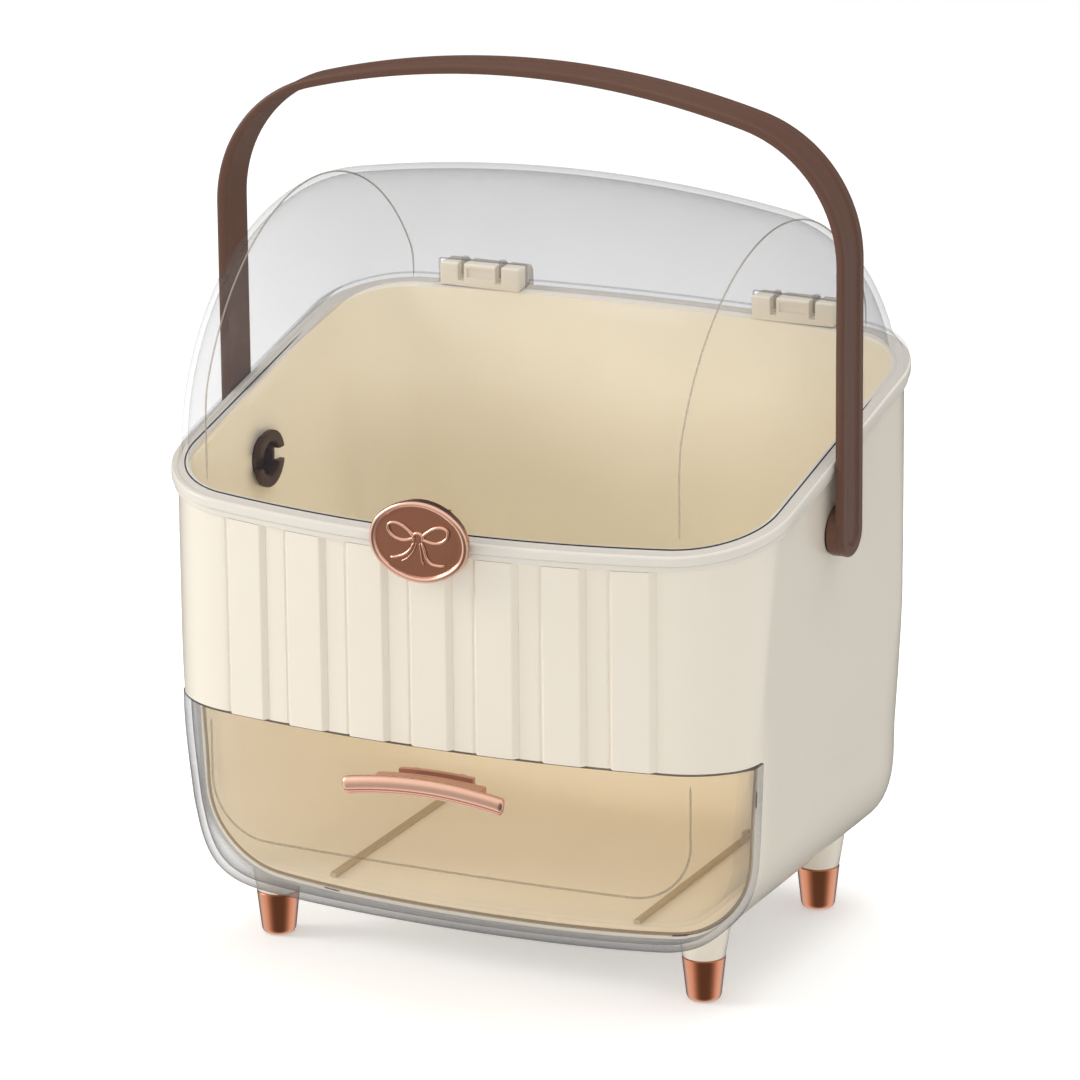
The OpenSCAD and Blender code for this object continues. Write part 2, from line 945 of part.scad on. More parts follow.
outer_shell();
inner_tub();
bay_liner();
liner_clips();
slide_rail(-1);  // rail_left
slide_rail(1);  // rail_right
foot(-1, -1);  // foot_front_left
foot(1, -1);  // foot_front_right
foot(-1, 1);  // foot_rear_left
foot(1, 1);  // foot_rear_right
foot_screws();
hinge_block(-1);  // hinge_block_left
hinge_block(1);  // hinge_block_right
hinge_pin(-1);  // hinge_pin_left
hinge_pin(1);  // hinge_pin_right
pivot_bush(-1);  // pivot_bush_left
pivot_bush(1);  // pivot_bush_right
lid_dome();
badge_plate();
badge_back();
badge_bow();
badge_rivets();
drawer_front();
drawer_tray();
pull_bar();
pull_plate();
pull_inner_plate();
pull_screws();
handle_bail();
snap_collar(-1);  // snap_collar_left
snap_collar(1);  // snap_collar_right
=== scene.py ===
import math
import bmesh
import bpy
import numpy as np
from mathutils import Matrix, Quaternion, Vector


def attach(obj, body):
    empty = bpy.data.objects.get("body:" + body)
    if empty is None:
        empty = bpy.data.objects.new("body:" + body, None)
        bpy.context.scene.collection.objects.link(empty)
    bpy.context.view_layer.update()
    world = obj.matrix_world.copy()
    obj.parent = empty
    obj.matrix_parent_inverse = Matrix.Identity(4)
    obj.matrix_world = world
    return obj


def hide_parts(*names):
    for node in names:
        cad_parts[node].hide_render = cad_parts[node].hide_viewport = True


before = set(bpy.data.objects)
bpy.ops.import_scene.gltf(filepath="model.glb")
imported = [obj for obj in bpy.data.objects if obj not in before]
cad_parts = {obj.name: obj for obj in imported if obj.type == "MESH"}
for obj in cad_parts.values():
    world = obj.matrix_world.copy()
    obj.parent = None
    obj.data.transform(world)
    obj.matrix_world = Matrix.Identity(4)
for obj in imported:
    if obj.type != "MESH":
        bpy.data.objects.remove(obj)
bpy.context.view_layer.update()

# ------------------------------
# The case shell: one moulding of glossy cream plastic with an open top, a bowed
# front with seven raised bands, a bowed belly and a large opening for the drawer.
# All sizes are in millimetres until a mesh is made.
RIM_W, RIM_D, RIM_Z = 238.0, 185.0, 194.4
FRONT_Y, BACK_Y = -91.0, 94.0
MID_Y = (FRONT_Y + BACK_Y) / 2
SLOPE = math.radians(13.0)
RIM_H, LIP = 6.0, 2.4
SHELL_WALL = 2.4
FRONT_BOW, FRONT_CORNER = 520.0, 38.0
BACK_BOW, BACK_CORNER = 900.0, 34.0
BELLY_Z, BELLY_BOW, BELLY_CORNER, SIDE_LEAN = 17.6, 560.0, 38.0, math.radians(2.4)
BACK_EDGE_R = 36.0
TOP_BLEND, LOW_BLEND, BLEND_Z, BLEND_H = 0.6, 8.0, 120.0, 50.0
RIB_PITCH, RIB_W, RIB_T, RIB_FLANK = 25.0, 14.6, 1.4, 1.6
GROOVE_OFF, GROOVE_HALF, GROOVE_T = 1.1, 0.6, 0.45
SPLIT_Z, OPEN_Y = 96.0, -54.6
PIVOT_Y, PIVOT_Z, STUD_R = -0.5, 165.5, 8.2
MM = 0.001


def srgb(red, green, blue):
    """Linear colour of an 8-bit screen colour: the power curve with its straight toe."""
    parts = np.array([red, green, blue]) / 255.0
    linear = np.where(parts <= 0.04045, parts / 12.92, ((parts + 0.055) / 1.055) ** 2.4)
    return (*[float(part) for part in linear], 1.0)


class Signal:
    """One output socket of a shader node; sums and products on it add Math nodes."""

    def __init__(self, finish, socket):
        self.finish, self.socket = finish, socket

    def math(self, operation, first, second=0.0):
        """Adds the Math node of one operation."""
        return self.finish.node("ShaderNodeMath", {"operation": operation},
                                {0: first, 1: second})

    def __add__(self, other):
        return self.math("ADD", self, other)

    def __rsub__(self, other):
        return self.math("SUBTRACT", other, self)

    def __mul__(self, other):
        return self.math("MULTIPLY", self, other)

    def __pow__(self, other):
        return self.math("POWER", self, other)

    def at_least(self, other):
        """The larger of the two."""
        return self.math("MAXIMUM", self, other)

    __radd__ = __add__
    __rmul__ = __mul__


class Finish:
    """A material with its constants on the Principled shader's own sockets."""

    def __init__(self, name, constants):
        self.material = bpy.data.materials.new(name)
        self.material.use_nodes = True
        self.tree = self.material.node_tree
        self.shader = self.tree.nodes["Principled BSDF"]
        for socket, value in constants.items():
            self.shader.inputs[socket].default_value = value

    def node(self, kind, settings, sockets, output=0):
        """Adds one node: its settings first, then a value or a link for each socket."""
        made = self.tree.nodes.new(kind)
        for key, value in settings.items():
            setattr(made, key, value)
        for key, value in sockets.items():
            if isinstance(value, Signal):
                self.tree.links.new(value.socket, made.inputs[key])
            else:
                made.inputs[key].default_value = value
        return Signal(self, made.outputs[output])

    def place(self):
        """Object coordinates, in metres from the part's origin."""
        return self.node("ShaderNodeTexCoord", {}, {}, "Object")

    def noise(self, scale, detail=2.0):
        """Cloudy values from 0 to 1, scale of them to the metre."""
        return self.node("ShaderNodeTexNoise", {},
                         {"Vector": self.place(), "Scale": scale, "Detail": detail})

    def mix(self, amount, first, second):
        """From the first colour to the second by an amount from 0 to 1."""
        return self.node("ShaderNodeMix", {"data_type": "RGBA"},
                         {0: amount, 6: first, 7: second}, 2)

    def bump(self, height, strength, distance):
        """A normal tilted by the slope of a height, its depth in metres."""
        return self.node("ShaderNodeBump", {},
                         {"Height": height, "Strength": strength, "Distance": distance})

    def feed(self, socket, signal):
        """Links a signal to one of the shader's own sockets."""
        self.tree.links.new(signal.socket, self.shader.inputs[socket])


def moulded_plastic(name, colour, shade, rough, coat=0.0, grain=0.04, gloss=0.5):
    """Glossy moulded plastic: a slow change of tone, a fine change of gloss and the
    very shallow ripple that a moulding keeps."""
    plastic = Finish(name, {"Roughness": rough, "IOR": 1.5, "Coat Weight": coat,
                            "Coat Roughness": 0.06, "Specular IOR Level": gloss})
    cloud = plastic.noise(14.0, 3.0)
    plastic.feed("Base Color", plastic.mix(cloud, colour, shade))
    plastic.feed("Roughness", plastic.noise(260.0, 4.0) * 0.08 + (rough - 0.04))
    ripple = plastic.noise(90.0, 2.0) + plastic.noise(1400.0, 1.0) * 0.25
    plastic.feed("Normal", plastic.bump(ripple, grain, 0.0004))
    return plastic.material


cream_gloss = moulded_plastic("cream_gloss", srgb(236, 228, 213), srgb(232, 223, 207), 0.24,
                              coat=0.25)


def soft_max(first, second, blend):
    """The larger of two distances, rounded where they are within blend of each other."""
    near = np.maximum(blend - np.abs(first - second), 0.0) / blend
    return np.maximum(first, second) + near * near * blend / 4


def corner_centre(half_w, lean, bow, corner, height):
    """Centre of the arc that touches the bow and the leaning side of a U."""
    across = np.array([math.cos(lean), -math.sin(lean)])
    along = np.array([math.sin(lean), math.cos(lean)])
    start = np.array([half_w, height]) - corner * across
    span = start - np.array([0.0, bow])
    lead = span @ along
    rest = span @ span - (bow - corner) ** 2
    return start + (-lead - math.sqrt(lead * lead - rest)) * along


def outside_u(x, v, half_w, lean, bow, corner, height):
    """Distance outside a U with a bowed base: from the bow's circle, from the corner's
    circle inside its wedge, or from the leaning side."""
    cx, cv = corner_centre(half_w, lean, bow, corner, height)
    nx, nv = math.cos(lean), -math.sin(lean)
    reach = math.hypot(cx, cv - bow)
    ox, ov = cx / reach, (cv - bow) / reach
    x = np.abs(x)
    rx, rv = x - cx, v - cv
    in_wedge = (ox * rv - ov * rx >= 0) & (rx * nv - rv * nx >= 0)
    straight = np.maximum(np.hypot(x, v - bow) - bow, rx * nx + rv * nv - corner)
    return np.where(in_wedge, np.hypot(rx, rv) - corner, straight)


def outside_plan(x, y):
    """Distance outside the rim's outline, seen from above."""
    front = outside_u(x, y - FRONT_Y, RIM_W / 2, 0.0, FRONT_BOW, FRONT_CORNER, RIM_D / 2)
    back = outside_u(x, BACK_Y - y, RIM_W / 2, 0.0, BACK_BOW, BACK_CORNER, RIM_D / 2)
    return np.maximum(front, back)


def outside_edge(u, w, radius):
    """Distance outside two faces at u = 0 and w = 0 that a round edge joins."""
    in_corner = (u < radius) & (w < radius)
    return np.where(in_corner, np.hypot(radius - u, radius - w) - radius, np.maximum(-u, -w))


def outside_belly(x, z, drop=0.0):
    """Distance outside the bowed bottom and the leaning sides, seen from the front."""
    low = BELLY_Z - drop
    return outside_u(x, z - low, RIM_W / 2 - LIP, SIDE_LEAN, BELLY_BOW, BELLY_CORNER,
                     RIM_Z - RIM_H - low)


def rib_height(x):
    """Height of the raised bands: full on each band, falling in an S over its flanks,
    less a fine groove along the foot of each flank."""
    off = np.abs(np.abs(x) - RIB_PITCH * np.minimum(np.round(np.abs(x) / RIB_PITCH), 3))
    flank = np.clip((RIB_W / 2 + RIB_FLANK / 2 - off) / RIB_FLANK, 0.0, 1.0)
    groove = np.clip(1 - np.abs(off - RIB_W / 2 - GROOVE_OFF) / GROOVE_HALF, 0.0, 1.0)
    return (RIB_T * flank * flank * (3 - 2 * flank)
            - GROOVE_T * groove * groove * (3 - 2 * groove))


def case_solid(inset, ribs=False):
    """Distance outside the case, inset from its wall; junctions are rounder lower down."""
    def solid(p):
        x, y, z = p[..., 0], p[..., 1], p[..., 2]
        raised = np.where(y < -40, rib_height(x), 0.0) if ribs else 0.0
        blend = TOP_BLEND + LOW_BLEND * np.clip((BLEND_Z - z) / BLEND_H, 0.0, 1.0)
        walls = soft_max(outside_plan(x, y) + LIP - raised, outside_belly(x, z), blend)
        back_edge = outside_edge(BACK_Y - LIP - y, z - BELLY_Z + 0.5, BACK_EDGE_R)
        return soft_max(walls, back_edge, blend) + inset
    return solid


def cast(solid, origin, heading, reach=260.0):
    """Where rays leave a convex solid: the stretch between a point inside and a point
    outside is halved again and again."""
    shape = np.broadcast_shapes(origin.shape, heading.shape)
    near, far = np.zeros(shape[:-1]), np.full(shape[:-1], reach)
    for _ in range(30):
        middle = (near + far) / 2
        inside = solid(origin + heading * middle[..., None]) < 0
        near, far = np.where(inside, middle, near), np.where(inside, far, middle)
    return origin + heading * near[..., None]


def plan_ring(front_x, corner_n, side_n, back_n):
    """Points of the rim's outline and their outward normals, once around: the front
    bow at the places given, arcs at the corners, straight sides and the back bow."""
    fx, fv = corner_centre(RIM_W / 2, 0.0, FRONT_BOW, FRONT_CORNER, RIM_D / 2)
    bx, bv = corner_centre(RIM_W / 2, 0.0, BACK_BOW, BACK_CORNER, RIM_D / 2)
    front_turn = math.asin(fx / (FRONT_BOW - FRONT_CORNER))
    back_turn = math.asin(bx / (BACK_BOW - BACK_CORNER))
    turn = np.arcsin(front_x / FRONT_BOW)
    arc = np.linspace(front_turn, math.pi / 2, corner_n + 1)
    side = np.linspace(FRONT_Y + fv, BACK_Y - bv, side_n + 1)[1:]
    back_arc = np.linspace(math.pi / 2, back_turn, corner_n + 1)[1:]
    back = np.linspace(back_turn, 0.0, back_n + 1)[1:]
    x = np.concatenate([FRONT_BOW * np.sin(turn), fx + FRONT_CORNER * np.sin(arc),
                        np.full(side_n, RIM_W / 2), bx + BACK_CORNER * np.sin(back_arc),
                        BACK_BOW * np.sin(back)])
    y = np.concatenate([FRONT_Y + FRONT_BOW * (1 - np.cos(turn)),
                        FRONT_Y + fv - FRONT_CORNER * np.cos(arc), side,
                        BACK_Y - bv + BACK_CORNER * np.cos(back_arc),
                        BACK_Y - BACK_BOW * (1 - np.cos(back))])
    angle = np.concatenate([turn, arc, np.full(side_n, math.pi / 2), math.pi - back_arc,
                            math.pi - back])
    nx, ny = np.sin(angle), -np.cos(angle)
    half = np.stack([x, y, nx, ny], axis=1)
    other = half[-2:0:-1] * np.array([-1, 1, -1, 1])
    whole = np.concatenate([half, other])
    return whole[:, :2], whole[:, 2:]


def wall_rows(solid, ring, top, low_z, shares, depth):
    """Rows of a wall between a sloped top plane and a level: each point is cast out
    along the outline's normal, inside the row's own plane."""
    points, normals = ring
    slope = math.tan(SLOPE) * (1 - shares)[:, None]
    start = points - depth * normals
    level = (RIM_Z + top) * (1 - shares)[:, None] + low_z * shares[:, None]
    ones = np.ones_like(level)
    origin = np.stack([start[:, 0] * ones, start[:, 1] * ones,
                       level + slope * (start[:, 1] - MID_Y)], axis=-1)
    heading = np.stack([normals[:, 0] * ones, normals[:, 1] * ones, slope * normals[:, 1]],
                       axis=-1)
    return cast(solid, origin, heading)


def fan_rows(solid, row, centre, pole, turns):
    """Rows from a level row round to a pole: each ray turns from the row's point
    towards the pole, about one centre."""
    away = row - centre
    away = away / np.linalg.norm(away, axis=-1, keepdims=True)
    side, ahead = np.cos(turns)[:, None, None], np.sin(turns)[:, None, None]
    return cast(solid, np.broadcast_to(centre, row.shape), away * side + pole * ahead)


def grid_mesh(name, grid):
    """A mesh of quads over a grid of points in millimetres whose rows close on
    themselves; points that fall together at the poles are merged, and the closed skin
    faces outwards."""
    rows, cols = grid.shape[:2]
    index = np.arange(rows * cols).reshape(rows, cols)
    right = np.roll(index, -1, axis=1)
    quads = np.stack([index[:-1], right[:-1], right[1:], index[1:]], axis=-1)
    mesh = bpy.data.meshes.new(name)
    mesh.from_pydata((grid.reshape(-1, 3) * MM).tolist(), [], quads.reshape(-1, 4).tolist())
    sheet = bmesh.new()
    sheet.from_mesh(mesh)
    bmesh.ops.remove_doubles(sheet, verts=sheet.verts, dist=2e-6)
    bmesh.ops.dissolve_degenerate(sheet, edges=sheet.edges, dist=1e-7)
    bmesh.ops.recalc_face_normals(sheet, faces=sheet.faces)
    sheet.to_mesh(mesh)
    sheet.free()
    return mesh


def add_piece(name, mesh, materials, sharp=35.0):
    """An object at the origin with smooth faces and sharp edges past an angle."""
    piece = bpy.data.objects.new(name, mesh)
    bpy.context.scene.collection.objects.link(piece)
    for material in materials:
        mesh.materials.append(material)
    mesh.shade_smooth()
    mesh.set_sharp_from_angle(angle=math.radians(sharp))
    return piece


def block(name, low, high, materials=()):
    """A cutting block between two corners, in millimetres."""
    corners = np.array([[x, y, z] for x in (low[0], high[0]) for y in (low[1], high[1])
                        for z in (low[2], high[2])]) * MM
    faces = [(0, 1, 3, 2), (4, 6, 7, 5), (0, 4, 5, 1), (2, 3, 7, 6), (0, 2, 6, 4), (1, 5, 7, 3)]
    mesh = bpy.data.meshes.new(name)
    mesh.from_pydata(corners.tolist(), [], faces)
    return add_piece(name, mesh, materials)


def turned(name, profile, centre, axis, materials, segments=96, sharp=35.0):
    """A profile of (distance along the axis, radius) points turned about the axis."""
    angle = np.linspace(0, 2 * math.pi, segments, endpoint=False)
    along, radius = np.array(profile, dtype=float).T
    flat = {"x": (1, 2, 0), "z": (0, 1, 2)}[axis]
    grid = np.empty((len(profile), segments, 3))
    grid[..., flat[0]] = radius[:, None] * np.cos(angle)
    grid[..., flat[1]] = radius[:, None] * np.sin(angle)
    grid[..., flat[2]] = along[:, None]
    return add_piece(name, grid_mesh(name, grid + np.array(centre, dtype=float)), materials, sharp)


def carve(piece, cutters, sharp):
    """Cuts a piece with closed bodies, keeps the result as its mesh and removes them."""
    for cutter in cutters:
        cut = piece.modifiers.new("cut", "BOOLEAN")
        cut.operation, cut.solver, cut.object = "DIFFERENCE", "EXACT", cutter
        cut.material_mode = "TRANSFER"
    view = bpy.context.evaluated_depsgraph_get()
    result = bpy.data.meshes.new_from_object(piece.evaluated_get(view))
    piece.modifiers.clear()
    piece.data = result
    for cutter in cutters:
        bpy.data.objects.remove(cutter)
    result.shade_smooth()
    result.set_sharp_from_angle(angle=math.radians(sharp))


# columns of the mesh are closer together on the flanks of the bands
rib_edges = np.array([RIB_PITCH * i + side * RIB_W / 2 for i in range(4) for side in (-1, 1)])[1:]
fine_x = (rib_edges[:, None] + np.linspace(-1.8, 1.8, 19)[None, :]).ravel()
front_x = np.unique(np.round(np.concatenate([np.linspace(0, 85, 29), fine_x]), 2))
front_x = front_x[(front_x >= 0) & (front_x < 86.5)]
rib_ring = plan_ring(front_x, 22, 18, 30)
CASE_HUB = np.array([0.0, 8.0, 70.0])
DOWN = np.array([0.0, 0.0, -1.0])
low_turns = np.linspace(0.0, math.pi / 2, 60)[1:]


def deep_rows(solid, ring, top, hub, rows, depth=36.0):
    """Rows of a deep shape, from a top plane down its wall to the hub's level, then
    round under it to the pole."""
    wall = wall_rows(solid, ring, top, hub[2], np.linspace(0, 1, rows), depth)
    return np.concatenate([wall, fan_rows(solid, wall[-1], hub, DOWN, low_turns)])


outer_rows = deep_rows(case_solid(0.0, ribs=True), rib_ring, -RIM_H - 0.05, CASE_HUB, 26)
inner_rows = deep_rows(case_solid(SHELL_WALL), rib_ring, -RIM_H - 0.05, CASE_HUB, 26)
shell_grid = np.concatenate([outer_rows[::-1], inner_rows])
case_shell = add_piece("case_shell", grid_mesh("case_shell", shell_grid), [cream_gloss], 40.0)


def pivot_bores(middle_x, material):
    """Cutters for the two round holes that the handle's studs turn in."""
    section = [(-9, 0), (-9, STUD_R + 0.3), (9, STUD_R + 0.3), (9, 0)]
    return [turned("bore", section, (side * middle_x, PIVOT_Y, PIVOT_Z), "x", [material])
            for side in (-1, 1)]


carve(case_shell, [block("opening", (-200, -200, -20), (200, OPEN_Y, SPLIT_Z), [cream_gloss])]
      + pivot_bores(115, cream_gloss), sharp=40.0)
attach(case_shell, "case")
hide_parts("outer_shell", "pivot_bush_left", "pivot_bush_right")

# ------------------------------
# The inner tub: a deep cream moulding that drops into the shell. Its two-step rim
# covers the shell's top edge and carries the lid.
TUB_FLOOR, TUB_FOOT_R, TUB_UNDER = 98.9, 12.0, 96.7
TUB_INSIDE, TUB_OUTSIDE = 4.6, 2.6
cream_inside = moulded_plastic("cream_inside", srgb(250, 242, 222), srgb(249, 238, 214), 0.32,
                               grain=0.015)


def rim_top(y):
    """Height of the rim's sloped top plane over a place in the depth."""
    return RIM_Z + (y - MID_Y) * math.tan(SLOPE)


def above_floor(inset, floor_z, blend):
    """The case inset, cut off by a floor with a rounded foot."""
    walls = case_solid(inset)
    return lambda p: soft_max(walls(p), floor_z - p[..., 2], blend)


def swept_rows(ring, profile):
    """Rows of a section along the outline: each (inset, height over the rim) point is
    carried round it along its normals."""
    points, normals = ring
    inset, height = np.array(profile).T
    at = points[None] - inset[:, None, None] * normals[None]
    z = rim_top(at[..., 1]) + height[:, None]
    return np.concatenate([at, z[..., None]], axis=-1)


def rounded(points, radius, steps=4):
    """An open line of points with its inner corners replaced by small arcs."""
    line = [np.array(points[0], dtype=float)]
    for before, corner, after in zip(points, points[1:], points[2:]):
        before, corner, after = (np.array(p, dtype=float) for p in (before, corner, after))
        to_a, to_b = before - corner, after - corner
        cut = min(radius, np.linalg.norm(to_a) / 2, np.linalg.norm(to_b) / 2)
        a = corner + to_a / np.linalg.norm(to_a) * cut
        b = corner + to_b / np.linalg.norm(to_b) * cut
        for share in np.linspace(0, 1, steps + 1):
            line.append((1 - share) ** 2 * a + 2 * share * (1 - share) * corner + share ** 2 * b)
    line.append(np.array(points[-1], dtype=float))
    return np.array(line)


plain_ring = plan_ring(np.linspace(0, 86, 26), 26, 18, 30)
TUB_HUB = np.array([0.0, 4.0, 140.0])
rim_profile = rounded([(5.0, -7.5), (5.0, -6.0), (0.8, -6.0), (0.8, -3.9), (1.15, -3.7),
                       (0.0, -3.3), (0.0, 0.0), (2.2, 0.0), (2.5, -0.35), (5.3, -0.35),
                       (5.6, 0.0), (7.0, 0.0), (7.0, -2.5)], 0.7)
tub_outer = deep_rows(above_floor(TUB_OUTSIDE, TUB_UNDER, TUB_FOOT_R / 2), plain_ring, -7.6,
                      TUB_HUB, 12)
tub_inner = deep_rows(above_floor(TUB_INSIDE, TUB_FLOOR, TUB_FOOT_R), plain_ring, -2.6, TUB_HUB,
                      16, depth=34.0)
tub_grid = np.concatenate([tub_outer[::-1], swept_rows(plain_ring, rim_profile), tub_inner])
rim_white = moulded_plastic("rim_white", srgb(226, 220, 210), srgb(221, 214, 203), 0.3)
tub_skin = add_piece("tub_skin", grid_mesh("tub_skin", tub_grid), [cream_inside, rim_white], 50.0)
carve(tub_skin, pivot_bores(113, cream_inside), sharp=50.0)


def mark_faces(piece, chosen, slot=1):
    """Gives another of the piece's materials to the faces that a test of their centres,
    in millimetres, and their normals picks."""
    mesh = piece.data
    count = len(mesh.polygons)
    centres, normals = np.empty(count * 3), np.empty(count * 3)
    slots = np.empty(count, dtype=np.int32)
    mesh.polygons.foreach_get("center", centres)
    mesh.polygons.foreach_get("normal", normals)
    mesh.polygons.foreach_get("material_index", slots)
    picked = chosen(*(centres.reshape(-1, 3) / MM).T, normals.reshape(-1, 3))
    mesh.polygons.foreach_set("material_index", np.where(picked, slot, slots).astype(np.int32))


mark_faces(tub_skin, lambda x, y, z, normal: ((z > rim_top(y) - RIM_H - 0.2)
                                              & (outside_plan(x, y) > -6.9)))
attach(tub_skin, "case")
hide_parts("inner_tub")

# ------------------------------
# The drawer bay's liner: a second cream skin inside the shell, open in front, that the tray slides
# in. A narrow seam and three clips part it from the shell; the liner's front edge is painted brown,
# as painted shade in the seam.
ROOF_Z, LINER_WALL, SEAM = 94.4, 0.9, 0.5
AXIS_Z, ROOF_BLEND = 57.0, 1.5


def under_roof(inset, roof_z):
    """The case inset, closed above by a flat roof."""
    walls = case_solid(inset)
    return lambda p: soft_max(walls(p), p[..., 2] - roof_z, ROOF_BLEND)


def tunnel_rows(solid, ys, around):
    """Rings of a solid at given places in the depth, cast out from a line along it."""
    heading = np.stack([np.cos(around), np.zeros_like(around), np.sin(around)], axis=-1)
    origin = np.zeros((len(ys), 1, 3))
    origin[..., 1], origin[..., 2] = ys[:, None], AXIS_Z
    return cast(solid, np.broadcast_to(origin, (len(ys), len(around), 3)), heading)


# rays are closer together towards the sides, where the section turns
spread = np.linspace(0, 2 * math.pi, 220, endpoint=False)
around = spread - 0.22 * np.sin(2 * spread)
liner_y = np.linspace(OPEN_Y, 45.0, 30)
BAY_HUB = np.array([0.0, 45.0, AXIS_Z])
BACK = np.array([0.0, 1.0, 0.0])
back_turns = np.linspace(0, math.pi / 2, 40)[1:]
liner_in = under_roof(SHELL_WALL + SEAM + LINER_WALL, ROOF_Z)
liner_out = under_roof(SHELL_WALL + SEAM, ROOF_Z + LINER_WALL)
bay_inner = tunnel_rows(liner_in, liner_y, around)
bay_outer = tunnel_rows(liner_out, liner_y, around)
bay_grid = np.concatenate([fan_rows(liner_in, bay_inner[-1], BAY_HUB, BACK, back_turns)[::-1],
                           bay_inner[::-1], bay_outer,
                           fan_rows(liner_out, bay_outer[-1], BAY_HUB, BACK, back_turns)])
cream_bay = moulded_plastic("cream_bay", srgb(255, 244, 220), srgb(254, 240, 213), 0.4, grain=0.015)
# painted light: the liner's cream glows faintly, a light of its own that brightens the deep bay
# where little lamp light reaches
bay_painted_glow_shader = cream_bay.node_tree.nodes["Principled BSDF"]
bay_painted_glow_shader.inputs["Emission Color"].default_value = srgb(255, 252, 250)
bay_painted_glow_shader.inputs["Emission Strength"].default_value = 0.066
gap_shade_brown = moulded_plastic("gap_shade_brown", srgb(158, 134, 96), srgb(150, 124, 86), 0.5)
bay_skin = add_piece("bay_skin", grid_mesh("bay_skin", bay_grid), [cream_bay, gap_shade_brown], 40.0)


def in_plane(axis, value):
    """A test for faces that lie in the plane where one coordinate has a value."""
    def test(x, y, z, normal):
        return (np.abs((x, y, z)[axis] - value) < 0.03) & (np.abs(normal[:, axis]) > 0.9)
    return test


# painted shade: the liner's front edge takes the brown, for the shadow in the seam beside it
mark_faces(bay_skin, in_plane(1, OPEN_Y))
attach(bay_skin, "case")
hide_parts("bay_liner")

# ------------------------------
# The drawer front: a thick shell of clear acrylic that wraps the lower front of the case, with a
# polished outside and cut edges at the back that look darker where light is caught; its top edge,
# under the case's front, is painted dark as painted shade in the gap at the split.
NOSE_WALL, NOSE_DROP, NOSE_EDGE = 2.6, 0.9, 29.0
NOSE_TOP, NOSE_REAR = 95.2, -55.4
NOSE_LOW_BLEND, NOSE_AHEAD_BLEND = 7.0, 17.0
BODY_FRONT = FRONT_Y + LIP


def clear_plastic(name, tint, face, edge, power, rough=0.04, rim_tint=srgb(70, 72, 78),
                  behind=0.0):
    """Clear plastic as a thin skin: almost nothing where it is seen straight on, and
    denser and greyer towards grazing, where light runs along inside the wall. Behind
    is how much denser its smoky tint is at the back than at the front."""
    clear = Finish(name, {"Roughness": rough, "IOR": 1.49, "Specular IOR Level": 0.15})
    facing = clear.node("ShaderNodeLayerWeight", {}, {"Blend": 0.5}, "Facing")
    haze = clear.noise(40.0, 3.0) * 0.02
    alpha = (facing ** power) * (edge - face) + haze + (face - 0.01)
    if behind:
        back = clear.node("ShaderNodeSeparateXYZ", {}, {0: clear.place()}, "Y")
        alpha = alpha + clear.node("ShaderNodeMapRange", {}, {
            0: back, 1: -0.07, 2: 0.07, 3: -0.5 * behind, 4: 0.5 * behind})
    clear.feed("Alpha", alpha)
    clear.feed("Base Color", clear.mix(facing ** 1.5, tint, rim_tint))
    clear.feed("Roughness", clear.noise(500.0, 2.0) * 0.03 + (rough - 0.01))
    clear.feed("Normal", clear.bump(clear.noise(30.0, 1.0), 0.02, 0.0005))
    return clear.material


clear_front = clear_plastic("clear_front", srgb(150, 150, 154), 0.012, 0.85, 2.1,
                            rim_tint=srgb(40, 42, 48))
clear_cut = clear_plastic("clear_cut", srgb(150, 150, 152), 0.35, 0.8, 2.0, 0.12)
# The next finish is nearly opaque dark grey: painted shade, on the drawer front's top edge in the
# gap at the split and on the line under the lid's flange.
clear_painted_shade = clear_plastic("clear_dark_edge", srgb(46, 48, 54), 0.85, 0.95, 1.0, 0.2)


def nose_solid(inset):
    """Distance outside the drawer front: the plan, the lowered belly and a round lower
    front edge. Where they meet it is rounder lower down and towards the front."""
    def solid(p):
        x, y, z = p[..., 0], p[..., 1], p[..., 2]
        low = np.clip((90.0 - z) / 40.0, 0.0, 1.0)
        ahead = np.clip((-57.0 - y) / 26.0, 0.0, 1.0)
        blend = TOP_BLEND + NOSE_LOW_BLEND * low + NOSE_AHEAD_BLEND * low * ahead
        walls = soft_max(outside_plan(x, y) + LIP, outside_belly(x, z, NOSE_DROP), blend)
        edge = outside_edge(y - BODY_FRONT, z - (BELLY_Z - NOSE_DROP - 0.5), NOSE_EDGE)
        return soft_max(walls, edge, blend) + inset
    return solid


def clamshell(solid, open_y, top_z, forward, columns, turns, half=78.0, straight=0.6):
    """Rays that sweep from the open top to the open end: their origins slide over a
    half width for the straight share of the columns, then turn outwards at both sides."""
    share = np.linspace(-1, 1, columns)
    slide = half * np.clip(share / straight, -1, 1)
    past = np.clip((np.abs(share) - straight) / (1 - straight), 0, 1)
    swing = np.sign(share) * past * math.pi / 2
    heading = np.stack([np.sin(swing)[:, None] * np.ones_like(turns),
                        forward * np.cos(swing)[:, None] * np.cos(turns),
                        -np.cos(swing)[:, None] * np.sin(turns)], axis=-1)
    origin = np.stack([slide, np.full(columns, open_y), np.full(columns, top_z)], axis=-1)
    return cast(solid, np.broadcast_to(origin[:, None], heading.shape), heading)


def walled_grid(solid, wall, *sweep):
    """The outside and, one wall in, the inside of a clamshell, joined at the cut edges."""
    outside, inside = (clamshell(solid(inset), *sweep) for inset in (0.0, wall))
    return np.concatenate([outside, inside[:, ::-1]], axis=1)


nose_grid = walled_grid(nose_solid, NOSE_WALL, NOSE_REAR, NOSE_TOP, -1, 240,
                        np.linspace(0, math.pi / 2, 70))
drawer_nose = add_piece("drawer_nose", grid_mesh("drawer_nose", nose_grid),
                        [clear_front, clear_cut, clear_painted_shade], 40.0)


